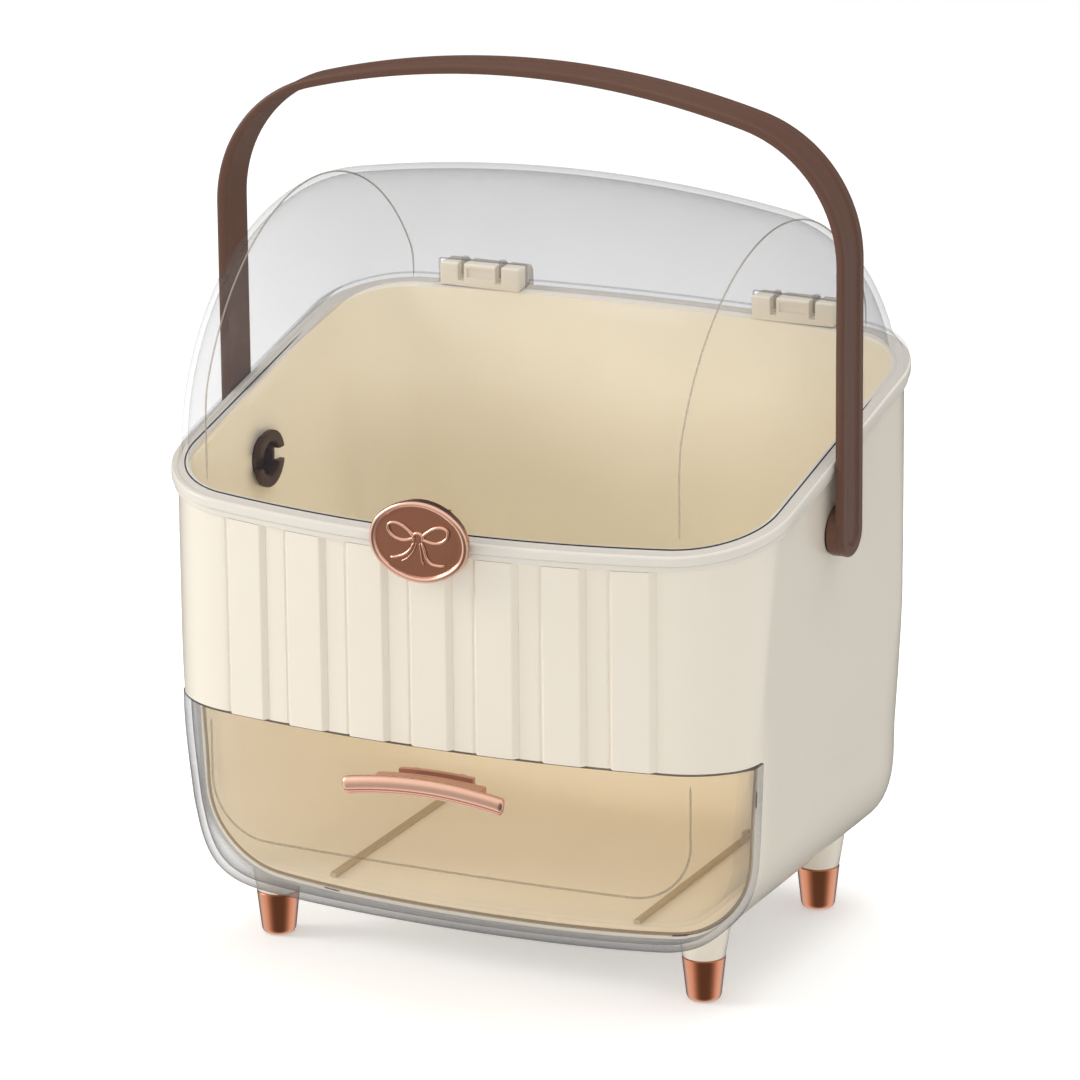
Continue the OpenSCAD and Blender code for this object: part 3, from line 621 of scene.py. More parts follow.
def lets_light_through(piece):
    """Thin clear plastic takes almost nothing from the light that passes it."""
    piece.visible_shadow = False
    piece.visible_diffuse = False


mark_faces(drawer_nose, in_plane(1, NOSE_REAR))
# painted shade: the top edge takes the dark finish, for the shadow in the gap under the case's
# front
mark_faces(drawer_nose, in_plane(2, NOSE_TOP), 2)
lets_light_through(drawer_nose)
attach(drawer_nose, "drawer")
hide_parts("drawer_front")

# ------------------------------
# The tray: thin walls of clear plastic behind the drawer front, open above. It is
# moulded with round corners, is bonded to the front, and slides on the two rails.
TRAY_TOP, TRAY_FRONT, TRAY_BACK, TRAY_WALL = 92.4, -57.6, 79.4, 1.8
clear_tray = clear_plastic("clear_tray", srgb(235, 228, 212), 0.012, 0.3, 4.0)


def tray_solid(inset):
    """The case inset by its clearance, closed by a plane at the back."""
    walls = case_solid(6.4 + inset)
    return lambda p: soft_max(walls(p), p[..., 1] - TRAY_BACK + inset, 4.0)


tray_grid = walled_grid(tray_solid, TRAY_WALL, TRAY_FRONT, TRAY_TOP, 1, 160,
                        np.linspace(0, math.pi / 2, 60))
tray_skin = add_piece("tray_skin", grid_mesh("tray_skin", tray_grid), [clear_tray, clear_cut],
                      40.0)
mark_faces(tray_skin, in_plane(2, TRAY_TOP))
lets_light_through(tray_skin)
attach(tray_skin, "drawer")
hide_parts("drawer_tray")

# ------------------------------
# The lid: a dome blown in one piece of clear plastic, with a flange that rests on
# the rim and two cut-outs at the back for the hinge blocks.
LID_GAP, FLANGE_TOP, LID_WALL, LID_INSET = 0.3, 2.3, 2.2, 2.8
DOME_Y, DOME_Z, CROWN_R = 6.5, 180.0, 101.0
CROWN_LEAN, CROWN_BOW, CROWN_CORNER, CROWN_BLEND = math.radians(4.0), 500.0, 35.0, 2.5
PIN_Y, PIN_Z = 93.5, 218.719
clear_lid = clear_plastic("clear_lid", srgb(96, 98, 108), 0.125, 0.36, 7.0, behind=0.1)


def dome_solid(inset):
    """Distance outside the dome: a crown profile turned about a line along the width,
    inside the upright outline of the rim."""
    def solid(p):
        x, y, z = p[..., 0], p[..., 1], p[..., 2]
        radius = np.hypot(y - DOME_Y, z - DOME_Z)
        crown = outside_u(x, CROWN_R - radius, RIM_W / 2 - LID_INSET, CROWN_LEAN, CROWN_BOW,
                          CROWN_CORNER, CROWN_R)
        return soft_max(crown, outside_plan(x, y) + LID_INSET, CROWN_BLEND) + inset
    return solid


LID_HUB = np.array([0.0, MID_Y, RIM_Z + LID_GAP])
LID_UP = np.array([0.0, -math.sin(SLOPE), math.cos(SLOPE)])
lid_turns = np.linspace(0, math.pi / 2, 86)


def dome_rows(solid, turns):
    """Rows of the dome from the rim plane up to its crown."""
    base = swept_rows(plain_ring, [(LID_INSET, LID_GAP)])[0]
    return fan_rows(solid, base, LID_HUB, LID_UP, turns)


lid_outer = dome_rows(dome_solid(0.0), lid_turns[2:])
lid_inner = dome_rows(dome_solid(LID_WALL), lid_turns)
flange_profile = rounded([(4.9, LID_GAP), (0.6, LID_GAP), (0.6, FLANGE_TOP),
                          (LID_INSET, FLANGE_TOP), (LID_INSET, 3.2)], 0.4, 3)
flange = swept_rows(plain_ring, flange_profile[1:])
lid_grid = np.concatenate([lid_inner[::-1], flange, lid_outer])
lid_skin = add_piece("lid_skin", grid_mesh("lid_skin", lid_grid), [clear_lid, clear_cut], 40.0)
HINGE_X, NOTCH_W = 63.3, 34.6
carve(lid_skin, [block("notch", (side * HINGE_X - NOTCH_W / 2, 80, 205),
                       (side * HINGE_X + NOTCH_W / 2, 120, PIN_Z + 4.8), [clear_cut])
                 for side in (-1, 1)], sharp=40.0)
lets_light_through(lid_skin)
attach(lid_skin, "lid")
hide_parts("lid_dome")

# ------------------------------
# The handle: a flat taupe strap moulded in one arch over the lid, with rounded
# borders along a shallow channel and a round hub at each end.
HANDLE_TOP, STRAP_W, STRAP_T = 323.0, 18.5, 3.4
ARCH_BOW, ARCH_CORNER, SPAN = 325.0, 51.0, 246.0
HUB_R, HUB_FACE, CHANNEL_R = STRAP_W / 2, 116.2, 5.35
EDGE_W, EDGE_H, CHANNEL_DEPTH, OUTER_COLUMNS = 1.2, 1.3, 0.9, 61
taupe_satin = moulded_plastic("taupe_satin", srgb(103, 76, 64), srgb(96, 69, 58), 0.34,
                              grain=0.05, gloss=0.16)


def strap_path():
    """Mid-line of the strap from the right hub over the arch to the left one: a
    straight arm, a shoulder arc and the bowed top, with outward normals."""
    half = SPAN / 2 - STRAP_T / 2
    rise = HANDLE_TOP - PIVOT_Z
    cx, cv = corner_centre(SPAN / 2, 0.0, ARCH_BOW, ARCH_CORNER, rise)
    turn = math.asin(cx / (ARCH_BOW - ARCH_CORNER))
    tip = PIVOT_Z - HUB_R * np.cos(np.linspace(0, math.pi / 2, 44))
    arm = np.concatenate([tip, np.linspace(PIVOT_Z, HANDLE_TOP - cv, 28)[1:]])
    bend = np.linspace(math.pi / 2, turn, 26)[1:]
    top = np.linspace(turn, -turn, 41)[1:-1]
    centre = HANDLE_TOP - ARCH_BOW
    x = np.concatenate([np.full(len(arm), half),
                        cx + (ARCH_CORNER - STRAP_T / 2) * np.sin(bend),
                        (ARCH_BOW - STRAP_T / 2) * np.sin(top)])
    z = np.concatenate([arm, HANDLE_TOP - cv + (ARCH_CORNER - STRAP_T / 2) * np.cos(bend),
                        centre + (ARCH_BOW - STRAP_T / 2) * np.cos(top)])
    angle = np.concatenate([np.full(len(arm), math.pi / 2), bend, top])
    side = len(arm) + len(bend)
    x = np.concatenate([x, -x[:side][::-1]])
    z = np.concatenate([z, z[:side][::-1]])
    angle = np.concatenate([angle, -angle[:side][::-1]])
    return x, z, np.sin(angle), np.cos(angle)


def strap_grid():
    """The strap: a rounded section with a shallow channel, carried along the path; the
    strap and its channel both end in half circles about the pivot."""
    x, z, nx, nz = strap_path()
    drop = np.where(np.abs(x) > SPAN / 2 - STRAP_T, np.minimum(z - PIVOT_Z, 0.0), 0.0)
    half = np.sqrt(np.maximum(HUB_R ** 2 - drop ** 2, 0.0))
    across = np.concatenate([np.linspace(-1, 1, OUTER_COLUMNS), np.linspace(1, -1, 25)[1:-1]])
    outer = np.arange(len(across)) < OUTER_COLUMNS
    w = across[None] * half[:, None]
    out = np.hypot(w, drop[:, None])
    edge = np.clip((HUB_R - out) / EDGE_W, 0, 1)
    round_off = EDGE_H * (1 - np.sqrt(1 - (1 - edge) ** 2))
    floor = np.clip((CHANNEL_R - out) / CHANNEL_DEPTH, 0, 1)
    floor = CHANNEL_DEPTH * floor * floor * (3 - 2 * floor)
    height = np.where(outer[None], STRAP_T / 2 - round_off - floor, -STRAP_T / 2 + round_off)
    return np.stack([x[:, None] + nx[:, None] * height, PIVOT_Y + w,
                     z[:, None] + nz[:, None] * height], axis=-1)


def join(pieces):
    """Puts the meshes of several pieces into the first one."""
    with bpy.context.temp_override(active_object=pieces[0], object=pieces[0],
                                   selected_objects=pieces, selected_editable_objects=pieces):
        bpy.ops.object.join()
    return pieces[0]


strap = add_piece("handle_strap", grid_mesh("handle_strap", strap_grid()), [taupe_satin], 50.0)
hubs = [turned("handle_hub", rounded([(s * 118.6, 0), (s * 118.6, 0.1), (s * 121.0, HUB_R - 0.4),
                                      (s * 120.0, HUB_R - 0.1), (s * HUB_FACE, HUB_R),
                                      (s * HUB_FACE, 0.1), (s * HUB_FACE, 0)], 0.7),
               (0, PIVOT_Y, PIVOT_Z), "x", [taupe_satin]) for s in (-1, 1)]
join([strap] + hubs)
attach(strap, "handle")
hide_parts("handle_bail")

# ------------------------------
# The feet: four short tapered cups of rose gold metal, and the cream sockets of the
# case that they are pressed on.
FOOT_X, FOOT_YS, FOOT_H, SOCKET_R = 85.0, (-45.0, 59.0), 16.5, 7.8
SIDES = ((-1, "left"), (1, "right"))


def plated_metal(name, colour, shade, rough, sheen):
    """Plated metal: slight clouding of its tone, fine brush lines and soft gloss."""
    metal = Finish(name, {"Metallic": 1.0, "Roughness": rough})
    facing = metal.node("ShaderNodeLayerWeight", {}, {"Blend": 0.5}, "Facing")
    cloud = metal.mix(metal.noise(60.0, 3.0), colour, shade)
    metal.feed("Base Color", metal.mix(facing ** 1.5, cloud, sheen))
    metal.feed("Roughness", metal.noise(320.0, 4.0) * 0.12 + (rough - 0.06))
    metal.feed("Normal", metal.bump(metal.noise(900.0, 2.0), 0.05, 0.0002))
    return metal.material


rose_pink = srgb(238, 200, 184)
rose_gold = plated_metal("rose_gold_plate", srgb(214, 132, 90), srgb(204, 120, 78), 0.17,
                         rose_pink)
foot_profile = rounded([(0.0, 0), (0.0, 6.1), (FOOT_H - 0.2, 7.9), (FOOT_H, 7.3), (FOOT_H, 0)],
                       2.4, 8)
for sign, side in SIDES:
    for y, place in zip(FOOT_YS, ("front", "rear")):
        cup = turned("cup_%s_%s" % (place, side), foot_profile, (sign * FOOT_X, y, 0),
                     "z", [rose_gold], 64, 50.0)
        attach(cup, "case")
        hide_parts("foot_%s_%s" % (place, side))


def socket_grid(x, y):
    """A cone under the case: each line of it runs up until it is inside the wall, and
    the top is closed there."""
    angle = np.linspace(0, 2 * math.pi, 64, endpoint=False)
    radius = np.stack([np.cos(angle), np.sin(angle), np.zeros(64)], axis=-1)
    base = np.array([x, y, FOOT_H + 0.05]) + SOCKET_R * radius
    rise = 0.16 * radius + np.array([0.0, 0.0, 1.0])
    wall = case_solid(1.2)
    top = cast(lambda p: -wall(p), base, rise, 40.0)
    crown = np.broadcast_to(top.mean(axis=0), top.shape)
    foot = np.broadcast_to(np.array([x, y, FOOT_H + 0.05]), top.shape)
    inner = base - 0.3 * radius
    return np.stack([foot, inner, base + np.array([0.0, 0.0, 0.3]), (base + top) / 2, top, crown])


sockets = [add_piece("foot_sockets", grid_mesh("foot_sockets", socket_grid(sign * FOOT_X, y)),
                     [cream_gloss], 50.0) for sign in (-1, 1) for y in FOOT_YS]
foot_sockets = join(sockets)
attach(foot_sockets, "case")

# ------------------------------
# The lid's hairlines: two fine ribs of the same clear plastic cross the dome from
# the front rim to the back, where its flat middle meets the rounded ends.
HAIRLINE_X, HAIRLINE_R = 91.5, 0.32
hairline = clear_plastic("clear_hairline", srgb(176, 164, 150), 0.45, 0.65, 1.0,
                         rim_tint=srgb(150, 144, 136))


def carry(path, section, binormal, scale):
    """A section of (side, up) points carried along a path that stays in one plane:
    up is the plane's normal, side is square to the path; scale narrows it."""
    tangent = np.gradient(path, axis=0)
    tangent /= np.linalg.norm(tangent, axis=1, keepdims=True)
    side = np.cross(np.broadcast_to(binormal, path.shape), tangent)
    section = np.asarray(section, dtype=float)
    return (path[:, None] + scale[:, None, None] * (section[None, :, :1] * side[:, None]
            + section[None, :, 1:] * np.asarray(binormal, dtype=float)))


def round_section(radius, flat=1.0, points=12):
    """A circle or an oval as (side, up) points."""
    angle = np.linspace(0, 2 * math.pi, points, endpoint=False)
    return np.stack([radius * np.cos(angle), radius * flat * np.sin(angle)], axis=-1)


def tapered_ends(count, rows):
    """Scale along a path: a quarter circle over the first and last rows."""
    rise = np.sqrt(1 - (1 - np.linspace(0, 1, rows)) ** 2)
    return np.concatenate([rise, np.ones(count - 2 * rows), rise[::-1]])


def hairline_path(x):
    """Where an upright plane across the width meets the dome's outside."""
    sweep = np.linspace(0.05, math.pi - 0.005, 130)
    ahead = np.array([0.0, -math.cos(SLOPE), -math.sin(SLOPE)])
    heading = np.cos(sweep)[:, None] * ahead + np.sin(sweep)[:, None] * LID_UP
    return cast(dome_solid(0.05), np.array([[x, MID_Y, RIM_Z + LID_GAP]]), heading)


hairlines = []
for side in (-1, 1):
    path = hairline_path(side * HAIRLINE_X)
    grid = carry(path, round_section(HAIRLINE_R), (1, 0, 0), tapered_ends(len(path), 4))
    hairlines.append(add_piece("lid_hairlines", grid_mesh("lid_hairlines", grid), [hairline]))
lid_hairlines = join(hairlines)
lets_light_through(lid_hairlines)
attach(lid_hairlines, "lid")

# ------------------------------
# The lower inner edge of the lid's clear flange is cut square. Along the front and both sides a
# thin tube of dark finish lies there: painted shade, for the shadow in the gap where the lid meets
# the rim.
SHADE_LINE_INSET, SHADE_LINE_LIFT, SHADE_LINE_R = 5.0, 0.35, 0.3
shade_line_ring, shade_line_normal = plain_ring
front_first = np.roll(np.arange(len(shade_line_ring)), len(shade_line_ring) // 2)
front_first = front_first[shade_line_ring[front_first][:, 1] < 40.0]
shade_line_at = (shade_line_ring - SHADE_LINE_INSET * shade_line_normal)[front_first]
shade_line_path = np.column_stack([shade_line_at, rim_top(shade_line_at[:, 1]) + SHADE_LINE_LIFT])
shade_line_grid = carry(shade_line_path, round_section(SHADE_LINE_R, 1.0, 8), (0, 0, 1),
                  tapered_ends(len(shade_line_path), 6))
lid_painted_shade = add_piece("lid_painted_shade_line", grid_mesh("lid_painted_shade_line", shade_line_grid), [clear_painted_shade])
lets_light_through(lid_painted_shade)
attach(lid_painted_shade, "lid")

# ------------------------------
# The hinge: two cream blocks on the back of the rim with rounded edges, a slit for
# each lid ear and a step across the front. The ears are clear like the lid.
HINGE_W, HINGE_D, HINGE_DROP = 33.0, 9.5, 5.6
BARREL_R, EAR_R, EAR_T, SLIT_X = 4.0, 2.3, 2.0, 7.7


def extruded(name, outline, low_x, high_x, materials, bevel, segments):
    """A (y, z) outline pushed along the width, with its edges rounded."""
    outline = np.asarray(outline, dtype=float)
    count = len(outline)
    ends = [np.column_stack([np.full(count, x), outline]) for x in (low_x, high_x)]
    index = np.arange(count)
    quads = np.stack([index, (index + 1) % count, (index + 1) % count + count, index + count], 1)
    faces = quads.tolist() + [index[::-1].tolist(), (index + count).tolist()]
    mesh = bpy.data.meshes.new(name)
    mesh.from_pydata((np.concatenate(ends) * MM).tolist(), [], faces)
    sheet = bmesh.new()
    sheet.from_mesh(mesh)
    bmesh.ops.recalc_face_normals(sheet, faces=sheet.faces)
    sharp = [edge for edge in sheet.edges if edge.calc_face_angle(0.0) > 0.9]
    bmesh.ops.bevel(sheet, geom=sharp, offset=bevel * MM, segments=segments, profile=0.5,
                    affect="EDGES", clamp_overlap=True)
    sheet.to_mesh(mesh)
    sheet.free()
    return add_piece(name, mesh, materials, 40.0)


def arc_points(y, z, radius, first, last, count):
    """Points of an arc about (y, z) from the first to the last angle in degrees."""
    angle = np.radians(np.linspace(first, last, count))
    return [(y + radius * math.cos(a), z + radius * math.sin(a)) for a in angle]


block_front = BACK_Y - HINGE_D
rim_back = rim_top(BACK_Y)
hinge_top = PIN_Z + BARREL_R
block_outline = ([(block_front, rim_top(block_front) + 0.05), (block_front, hinge_top)]
                 + arc_points(PIN_Y, PIN_Z, BARREL_R, 90, 0, 14)[1:]
                 + [(PIN_Y + BARREL_R, PIN_Z - HINGE_DROP), (BACK_Y + 0.1, PIN_Z - HINGE_DROP),
                    (BACK_Y + 0.1, rim_back + 0.05)])
for side, label in SIDES:
    middle = side * HINGE_X
    hinge = extruded("hinge_body_" + label, block_outline, middle - HINGE_W / 2,
                     middle + HINGE_W / 2, [cream_gloss], 1.0, 4)
    slits = [block("slit", (middle + s * SLIT_X - EAR_T / 2 - 0.3, block_front - 2, rim_back + 0.4),
                   (middle + s * SLIT_X + EAR_T / 2 + 0.3, 120, 240), [cream_gloss])
             for s in (-1, 1)]
    step = block("step", (middle - 5.2, block_front - 1, PIN_Z - 1.0),
                 (middle + 5.2, block_front + 0.5, PIN_Z + 2.4), [cream_gloss])
    carve(hinge, slits + [step], sharp=30.0)
    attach(hinge, "case")
    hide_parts("hinge_block_" + label)
ear_outline = ([(PIN_Y - 6.4, PIN_Z - 0.8), (PIN_Y - 6.4, PIN_Z + BARREL_R + 1.8),
                (PIN_Y - 3.4, PIN_Z + BARREL_R + 1.8), (PIN_Y - 3.4, PIN_Z + EAR_R)]
               + arc_points(PIN_Y, PIN_Z, EAR_R, 90, -90, 14)
               + [(PIN_Y - 1.0, PIN_Z - 2.0), (PIN_Y - 3.4, PIN_Z - 0.8)])
ears = [extruded("lid_ears", ear_outline, side * HINGE_X + s * SLIT_X - EAR_T / 2,
                 side * HINGE_X + s * SLIT_X + EAR_T / 2, [clear_lid], 0.2, 2)
        for side in (-1, 1) for s in (-1, 1)]
lid_ears = join(ears)
lets_light_through(lid_ears)
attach(lid_ears, "lid")

# ------------------------------
# The badge: an oval rose gold casting clipped on the lid's front edge, with a raised round border,
# a satin field and a ribbon bow drawn in fine raised cord. The field is a darker copy of the rose
# gold, as painted shade, and the border and cord a brighter one, as painted highlight.
BADGE_A, BADGE_B, BADGE_Y = 19.0, 14.8, -97.5
BADGE_Z = rim_top(FRONT_Y) + 0.4
FIELD_Y, OVAL_END = BADGE_Y + 1.1, 0.82


def oval_ring():
    """Points and outward normals of the badge's oval: two flat arcs above and below
    and a tight arc at each end, found by casting out from the middle."""
    tight = BADGE_B * OVAL_END
    flat = ((BADGE_A - tight) ** 2 + BADGE_B ** 2 - tight ** 2) / (2 * (BADGE_B - tight))
    angle = np.linspace(0, 2 * math.pi, 120, endpoint=False)
    split = math.atan2(BADGE_A - tight, flat - BADGE_B)
    turn = np.abs((angle + math.pi / 2) % math.pi - math.pi / 2)
    on_end = turn < math.pi / 2 - split
    sign_x, sign_z = np.sign(np.cos(angle)), np.sign(np.sin(angle) + 1e-12)
    x = np.where(on_end, sign_x * (BADGE_A - tight) + tight * np.cos(angle), flat * np.cos(angle))
    z = np.where(on_end, tight * np.sin(angle),
                 sign_z * (BADGE_B - flat) + flat * np.sin(angle))
    return np.stack([x, z], -1), np.stack([np.cos(angle), np.sin(angle)], -1)


def badge_rows(profile):
    """Rows of an oval casting: each (inset, depth) point is carried round the oval; an
    inset of the whole half height is its middle."""
    ring, normal = oval_ring()
    rows = []
    for inset, depth in profile:
        if inset < 5:
            flat = ring - inset * normal
        else:
            flat = (ring - 4.0 * normal) * (1 - (inset - 4.0) / (BADGE_B - 4.0))
        rows.append(np.column_stack([flat[:, 0], np.full(len(flat), BADGE_Y + depth),
                                     BADGE_Z + flat[:, 1]]))
    return np.array(rows)


badge_profile = ([(BADGE_B, 3.0), (4.0, 3.0), (0.5, 3.0), (0.0, 2.6), (0.0, 1.2), (0.12, 0.7),
                  (0.4, 0.25), (1.0, 0.0), (1.5, 0.06), (1.9, 0.35), (2.1, 0.8), (2.3, 1.1),
                  (2.8, 1.12), (4.0, 1.1), (8.0, 1.08), (12.0, 1.06), (BADGE_B, 1.05)])
# Two copies of the rose gold: a darker one for the badge's field, which is painted shade, and a
# brighter one for the border, the bow's cords and the pull, which is painted highlight.
rose_shaded_copy = plated_metal("rose_gold_shaded_copy", srgb(174, 116, 88), srgb(164, 106, 80), 0.26,
                          rose_pink)
rose_lit_copy = plated_metal("rose_gold_lit_copy", srgb(246, 198, 174), srgb(240, 190, 166), 0.24,
                           rose_pink)
badge = add_piece("badge_casting", grid_mesh("badge_casting", badge_rows(badge_profile)),
                  [rose_shaded_copy, rose_lit_copy], 50.0)
# the border takes the bright copy and the field keeps the dark one: painted light and shade of one
# casting
mark_faces(badge, lambda x, y, z, normal: y < BADGE_Y + 1.0)
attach(badge, "lid")
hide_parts("badge_plate")


def cord_line(points, radius):
    """A raised cord through the given (x, z) points: a smooth curve through them,
    carried with an oval section that sinks halfway into the field."""
    points = np.array(points, dtype=float)
    pad = np.concatenate([2 * points[:1] - points[1:2], points, 2 * points[-1:] - points[-2:-1]])
    share = np.linspace(0, 1, 9)[:-1][:, None]
    parts = []
    for a, b, c, d in zip(pad, pad[1:], pad[2:], pad[3:]):
        parts.append(0.5 * (2 * b + (c - a) * share + (2 * a - 5 * b + 4 * c - d) * share ** 2
                            + (3 * b - a - 3 * c + d) * share ** 3))
    line = np.concatenate(parts + [points[-1:]])
    path = np.column_stack([line[:, 0], np.full(len(line), FIELD_Y - 0.15),
                            BADGE_Z + line[:, 1]])
    grid = carry(path, round_section(radius, 1.25, 10), (0, 1, 0), tapered_ends(len(path), 5))
    return add_piece("bow_cord", grid_mesh("bow_cord", grid), [rose_lit_copy], 60.0)


left_loop = [(-1.4, 2.0), (-3.2, 3.6), (-6.2, 5.6), (-9.2, 6.3), (-11.4, 5.2), (-11.3, 3.0),
             (-9.4, 1.2), (-6.8, 0.4), (-4.0, 0.6), (-1.6, 1.4)]
right_loop = [(-x, z) for x, z in left_loop]
knot = [(-1.7, 0.2), (-1.9, 1.6), (-1.2, 2.9), (0.0, 3.3), (1.2, 2.9), (1.9, 1.6), (1.7, 0.2)]
left_tail = [(-1.5, 0.0), (-3.0, -2.8), (-5.4, -4.9), (-8.4, -6.1), (-11.0, -6.6)]
right_tail = [(1.3, 0.2), (2.3, -2.6), (3.2, -5.4), (5.0, -7.2), (7.8, -7.6), (10.4, -7.4)]
second_left = [(-0.6, -0.1), (-1.9, -3.4), (-4.2, -6.1), (-6.8, -7.6)]
second_right = [(0.4, -0.1), (1.0, -3.4), (1.4, -6.4), (2.2, -8.2)]
bow = join([cord_line(left_loop, 0.6), cord_line(right_loop, 0.6), cord_line(knot, 0.56),
            cord_line(left_tail, 0.54), cord_line(right_tail, 0.54),
            cord_line(second_left, 0.3), cord_line(second_right, 0.3)])
bow.name = "badge_bow_cord"
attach(bow, "lid")
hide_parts("badge_bow")

# ------------------------------
# The drawer pull: an arched bar of rose gold with a rounded face, a groove along its
# lower edge and round ends, screwed on through two plates.
PULL_L, PULL_H, PULL_T, PULL_RISE, PULL_Z, PULL_ROWS = 63.0, 6.6, 3.0, 3.0, 83.0, 61


def bar_grid():
    """The bar: a section with a bulging upper face, a groove and a thin lower lip,
    carried along a shallow arc; its ends narrow to a quarter round."""
    radius = (PULL_L ** 2 / 4 + PULL_RISE ** 2) / (2 * PULL_RISE)
    middle_r = radius - PULL_H / 2
    half_turn = math.asin((PULL_L / 2 - 0.05) / middle_r)
    ease = np.sin(np.linspace(-math.pi / 2, math.pi / 2, PULL_ROWS))
    turn = half_turn * (0.75 * ease + 0.25 * np.linspace(-1, 1, PULL_ROWS))
    centre_z = PULL_Z + PULL_H / 2 - radius
    path = np.column_stack([middle_r * np.sin(turn), np.full(PULL_ROWS, BADGE_Y + PULL_T / 2),
                            centre_z + middle_r * np.cos(turn)])
    half_h, half_t = PULL_H / 2, PULL_T / 2
    face = [(-half_h, half_t - 0.4), (-half_h, 0.2), (-half_h + 0.25, -0.25), (-half_h + 0.9, -0.5),
            (-half_h + 1.35, -0.35), (-half_h + 1.5, 0.0), (-half_h + 1.7, -0.1),
            (-half_h + 1.9, -0.8), (-half_h + 2.5, -1.3), (-half_h + 3.4, -half_t),
            (-half_h + 4.6, -1.42), (-half_h + 5.7, -1.1), (-half_h + 6.3, -0.5),
            (half_h, 0.2), (half_h, half_t - 0.4), (half_h - 0.4, half_t),
            (-half_h + 0.4, half_t)]
    section = np.array([(-side, up) for side, up in face])
    end = np.clip((PULL_L / 2 - 0.04 - np.abs(path[:, 0])) / 1.6, 0, 1)
    return carry(path, section, (0, 1, 0), np.sqrt(np.maximum(1 - (1 - end) ** 2, 0)))


# the bar takes the brighter copy of the rose gold: painted highlight
pull = add_piece("pull_handle", grid_mesh("pull_handle", bar_grid()), [rose_lit_copy], 50.0)
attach(pull, "drawer")
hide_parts("pull_bar")

# ------------------------------
# Snap collars: a hollow taupe stud with a rounded lip, split above and below, that
# holds each end of the handle in the case wall.
COLLAR_R, COLLAR_BORE, SLOT_W = 10.7, 6.5, 4.8
taupe_deep = moulded_plastic("taupe_deep", srgb(66, 40, 24), srgb(56, 33, 20), 0.35, gloss=0.2)
for side, label in SIDES:
    ring = rounded([(side * at, radius) for at, radius in (
        (112.0, COLLAR_BORE), (107.3, COLLAR_BORE), (107.3, COLLAR_R), (109.4, COLLAR_R),
        (109.6, STUD_R), (116.0, STUD_R), (116.0, COLLAR_BORE), (112.0, COLLAR_BORE))], 0.5)
    back = rounded([(side * at, radius) for at, radius in (
        (113.4, 0.0), (113.4, 7.6), (116.1, 7.6), (116.1, 0.0))], 0.2)
    collar = turned("collar_ring_" + label, ring, (0, PIVOT_Y, PIVOT_Z), "x", [taupe_deep])
    near, far = sorted((side * 104, side * 110.5))
    carve(collar, [block("slot", (near, PIVOT_Y - 14, PIVOT_Z - SLOT_W / 2),
                         (far, PIVOT_Y + 14, PIVOT_Z + SLOT_W / 2), [taupe_deep])], sharp=40.0)
    bottom = turned("collar_floor", back, (0, PIVOT_Y, PIVOT_Z), "x", [taupe_deep])
    join([collar, bottom])
    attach(collar, "handle")
    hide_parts("snap_collar_" + label)

# ------------------------------
# The drawer front's inner line: a thin raised line of the same clear plastic, moulded
# on the inside of the drawer front, follows its outline in a wide U.
RIDGE_X, RIDGE_TOP, RIDGE_LOW, RIDGE_BEND = 94.0, 91.0, 47.0, 22.0
bend_x, bend_z = RIDGE_X - RIDGE_BEND, RIDGE_LOW + RIDGE_BEND
ridge_half = np.array([(RIDGE_X, z) for z in np.linspace(RIDGE_TOP, bend_z + 2, 12)]
                      + [(bend_x + RIDGE_BEND * math.cos(a), bend_z - RIDGE_BEND * math.sin(a))
                         for a in np.radians(np.linspace(0, 90, 14))]
                      + [(x, RIDGE_LOW) for x in np.linspace(bend_x - 2, 0.0, 26)])
ridge_line = np.concatenate([ridge_half, ridge_half[-2::-1] * np.array([-1, 1])])
start = np.column_stack([ridge_line[:, 0], np.full(len(ridge_line), -62.0), ridge_line[:, 1]])
ridge_path = cast(nose_solid(NOSE_WALL), start, np.array([[0.0, -1.0, 0.0]]), 60.0)
ridge_grid = carry(ridge_path, round_section(0.42, 0.6, 10), (0, 1, 0),
                   tapered_ends(len(ridge_path), 3))
ridge_clear = clear_plastic("clear_ridge", srgb(150, 136, 112), 0.3, 0.7, 1.5)
nose_ridge = add_piece("drawer_nose_ridge", grid_mesh("drawer_nose_ridge", ridge_grid),
                       [ridge_clear], 60.0)
lets_light_through(nose_ridge)
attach(nose_ridge, "drawer")

# ------------------------------
# Studio: a pale floor that only takes the shadow, a white surround, three soft lamps
# and the camera.
floor = block("studio_floor", (-2000, -2000, -10), (2000, 2000, 0))
floor.visible_glossy = False
paper = Finish("floor_paper", {"Roughness": 0.9, "Specular IOR Level": 0.1})
paper.feed("Base Color", paper.mix(paper.noise(3.0), srgb(244, 244, 244), srgb(241, 241, 241)))
seen_directly = paper.node("ShaderNodeLightPath", {}, {}, "Is Camera Ray")
paper.shader.inputs["Emission Color"].default_value = (1, 1, 1, 1)
paper.feed("Emission Strength", seen_directly * 0.33)
floor.data.materials.append(paper.material)

world = bpy.data.worlds.new("studio")
bpy.context.scene.world = world
world.use_nodes = True


class WorldTree(Finish):
    """The world's node tree, with the same way to add nodes."""

    def __init__(self, tree):
        self.tree = tree
        self.shader = tree.nodes["Background"]


sky = WorldTree(world.node_tree)
to_eye = sky.node("ShaderNodeLightPath", {}, {}, "Is Camera Ray")
to_gloss = sky.node("ShaderNodeLightPath", {}, {}, "Is Glossy Ray")
to_glass = sky.node("ShaderNodeLightPath", {}, {}, "Is Transmission Ray")


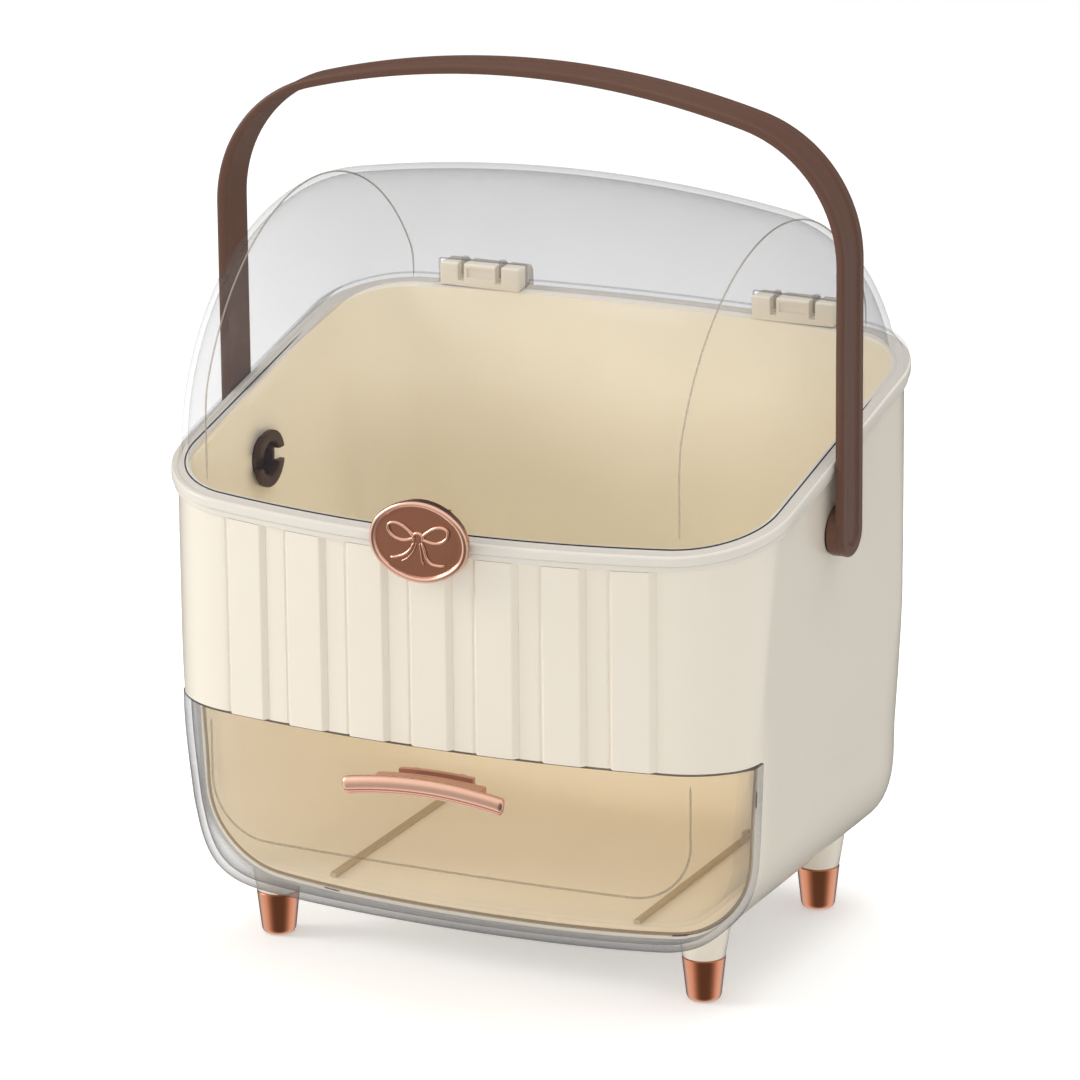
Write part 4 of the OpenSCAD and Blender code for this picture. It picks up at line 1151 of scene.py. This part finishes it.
def dim_side(heading, first, last, least):
    """Share of the surround's strength: it falls smoothly to the least towards one side."""
    toward = sky.node("ShaderNodeVectorMath", {"operation": "DOT_PRODUCT"},
                      {0: sky.node("ShaderNodeTexCoord", {}, {}, "Generated"), 1: heading}, "Value")
    return sky.node("ShaderNodeMapRange", {"interpolation_type": "SMOOTHSTEP"},
                    {0: toward, 1: first, 2: last, 3: 1.0, 4: least})


# reflections find a dark side low in front, for the cores of polished metal, and a
# dimmer one behind, for level surfaces
dim = (dim_side((0.43, -0.80, -0.42), 0.25, 0.95, 0.16)
       * dim_side((-0.41, 0.88, 0.15), 0.2, 0.85, 0.1))
shown = to_eye.at_least(to_glass)
level = shown + (1.0 - shown) * (to_gloss * dim + (1.0 - to_gloss) * 0.53)
sky.feed("Strength", level)
sky.shader.inputs["Color"].default_value = (1, 1, 1, 1)


def soft_lamp(name, place, target, width, height, watts, tone, glossy=True):
    """A rectangular soft lamp that looks at a point."""
    data = bpy.data.lights.new(name, "AREA")
    data.shape = "RECTANGLE"
    data.size, data.size_y = width, height
    data.energy, data.color = watts, tone
    lamp = bpy.data.objects.new(name, data)
    lamp.location = place
    aim = Vector(target) - Vector(place)
    lamp.rotation_euler = aim.to_track_quat("-Z", "Y").to_euler()
    lamp.visible_glossy = glossy
    bpy.context.scene.collection.objects.link(lamp)


soft_lamp("key_lamp", (-1.9, -0.7, 0.95), (0, 0, 0.12), 0.8, 1.1, 20, (1.0, 0.99, 0.96))
soft_lamp("front_lamp", (0.8, -2.1, 0.34), (0, 0, 0.1), 1.5, 0.5, 12, (1.0, 0.99, 0.98), False)
soft_lamp("top_lamp", (0.1, 0.3, 1.5), (0, 0, 0.1), 1.2, 1.2, 12, (1.0, 1.0, 1.0), False)

camera = bpy.data.objects.new("view_camera", bpy.data.cameras.new("view_camera"))
bpy.context.scene.collection.objects.link(camera)
camera.data.sensor_width = 36.0
camera.data.lens = 216.27
camera.data.clip_end = 20.0
camera.location = (0.95995, -2.01879, 0.82904)
level_view = Vector((-0.41047, 0.86395, -0.29172)).to_track_quat("-Z", "Y")
camera.rotation_euler = (level_view @ Quaternion((0, 0, 1), -0.00956)).to_euler()
bpy.context.scene.camera = camera
bpy.context.scene.view_settings.view_transform = "Standard"

# ------------------------------
# The small parts that keep their engineering shape, such as rails, screws, pins and
# plates, get their finish here: tan rails, satin plates behind the pull, steel screws.
steel = plated_metal("screw_steel", srgb(190, 190, 194), srgb(170, 170, 176), 0.28,
                     srgb(215, 215, 218))
finishes = {"cream": cream_gloss, "rose_gold": rose_gold, "taupe": taupe_satin, "steel": steel,
            "clear": clear_lid}
rail_tan = moulded_plastic("rail_tan", srgb(206, 186, 152), srgb(200, 178, 144), 0.45, gloss=0.2)
pull_satin = plated_metal("pull_plate_satin", srgb(232, 178, 152), srgb(224, 168, 142), 0.5,
                          rose_pink)
for node_name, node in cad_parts.items():
    for slot in node.material_slots:
        key = slot.material.name.split(".")[0] if slot.material else "cream"
        slot.material = finishes.get(key, cream_gloss)
        if node_name.startswith("rail"):
            slot.material = rail_tan
        if node_name.startswith("pull"):
            slot.material = pull_satin
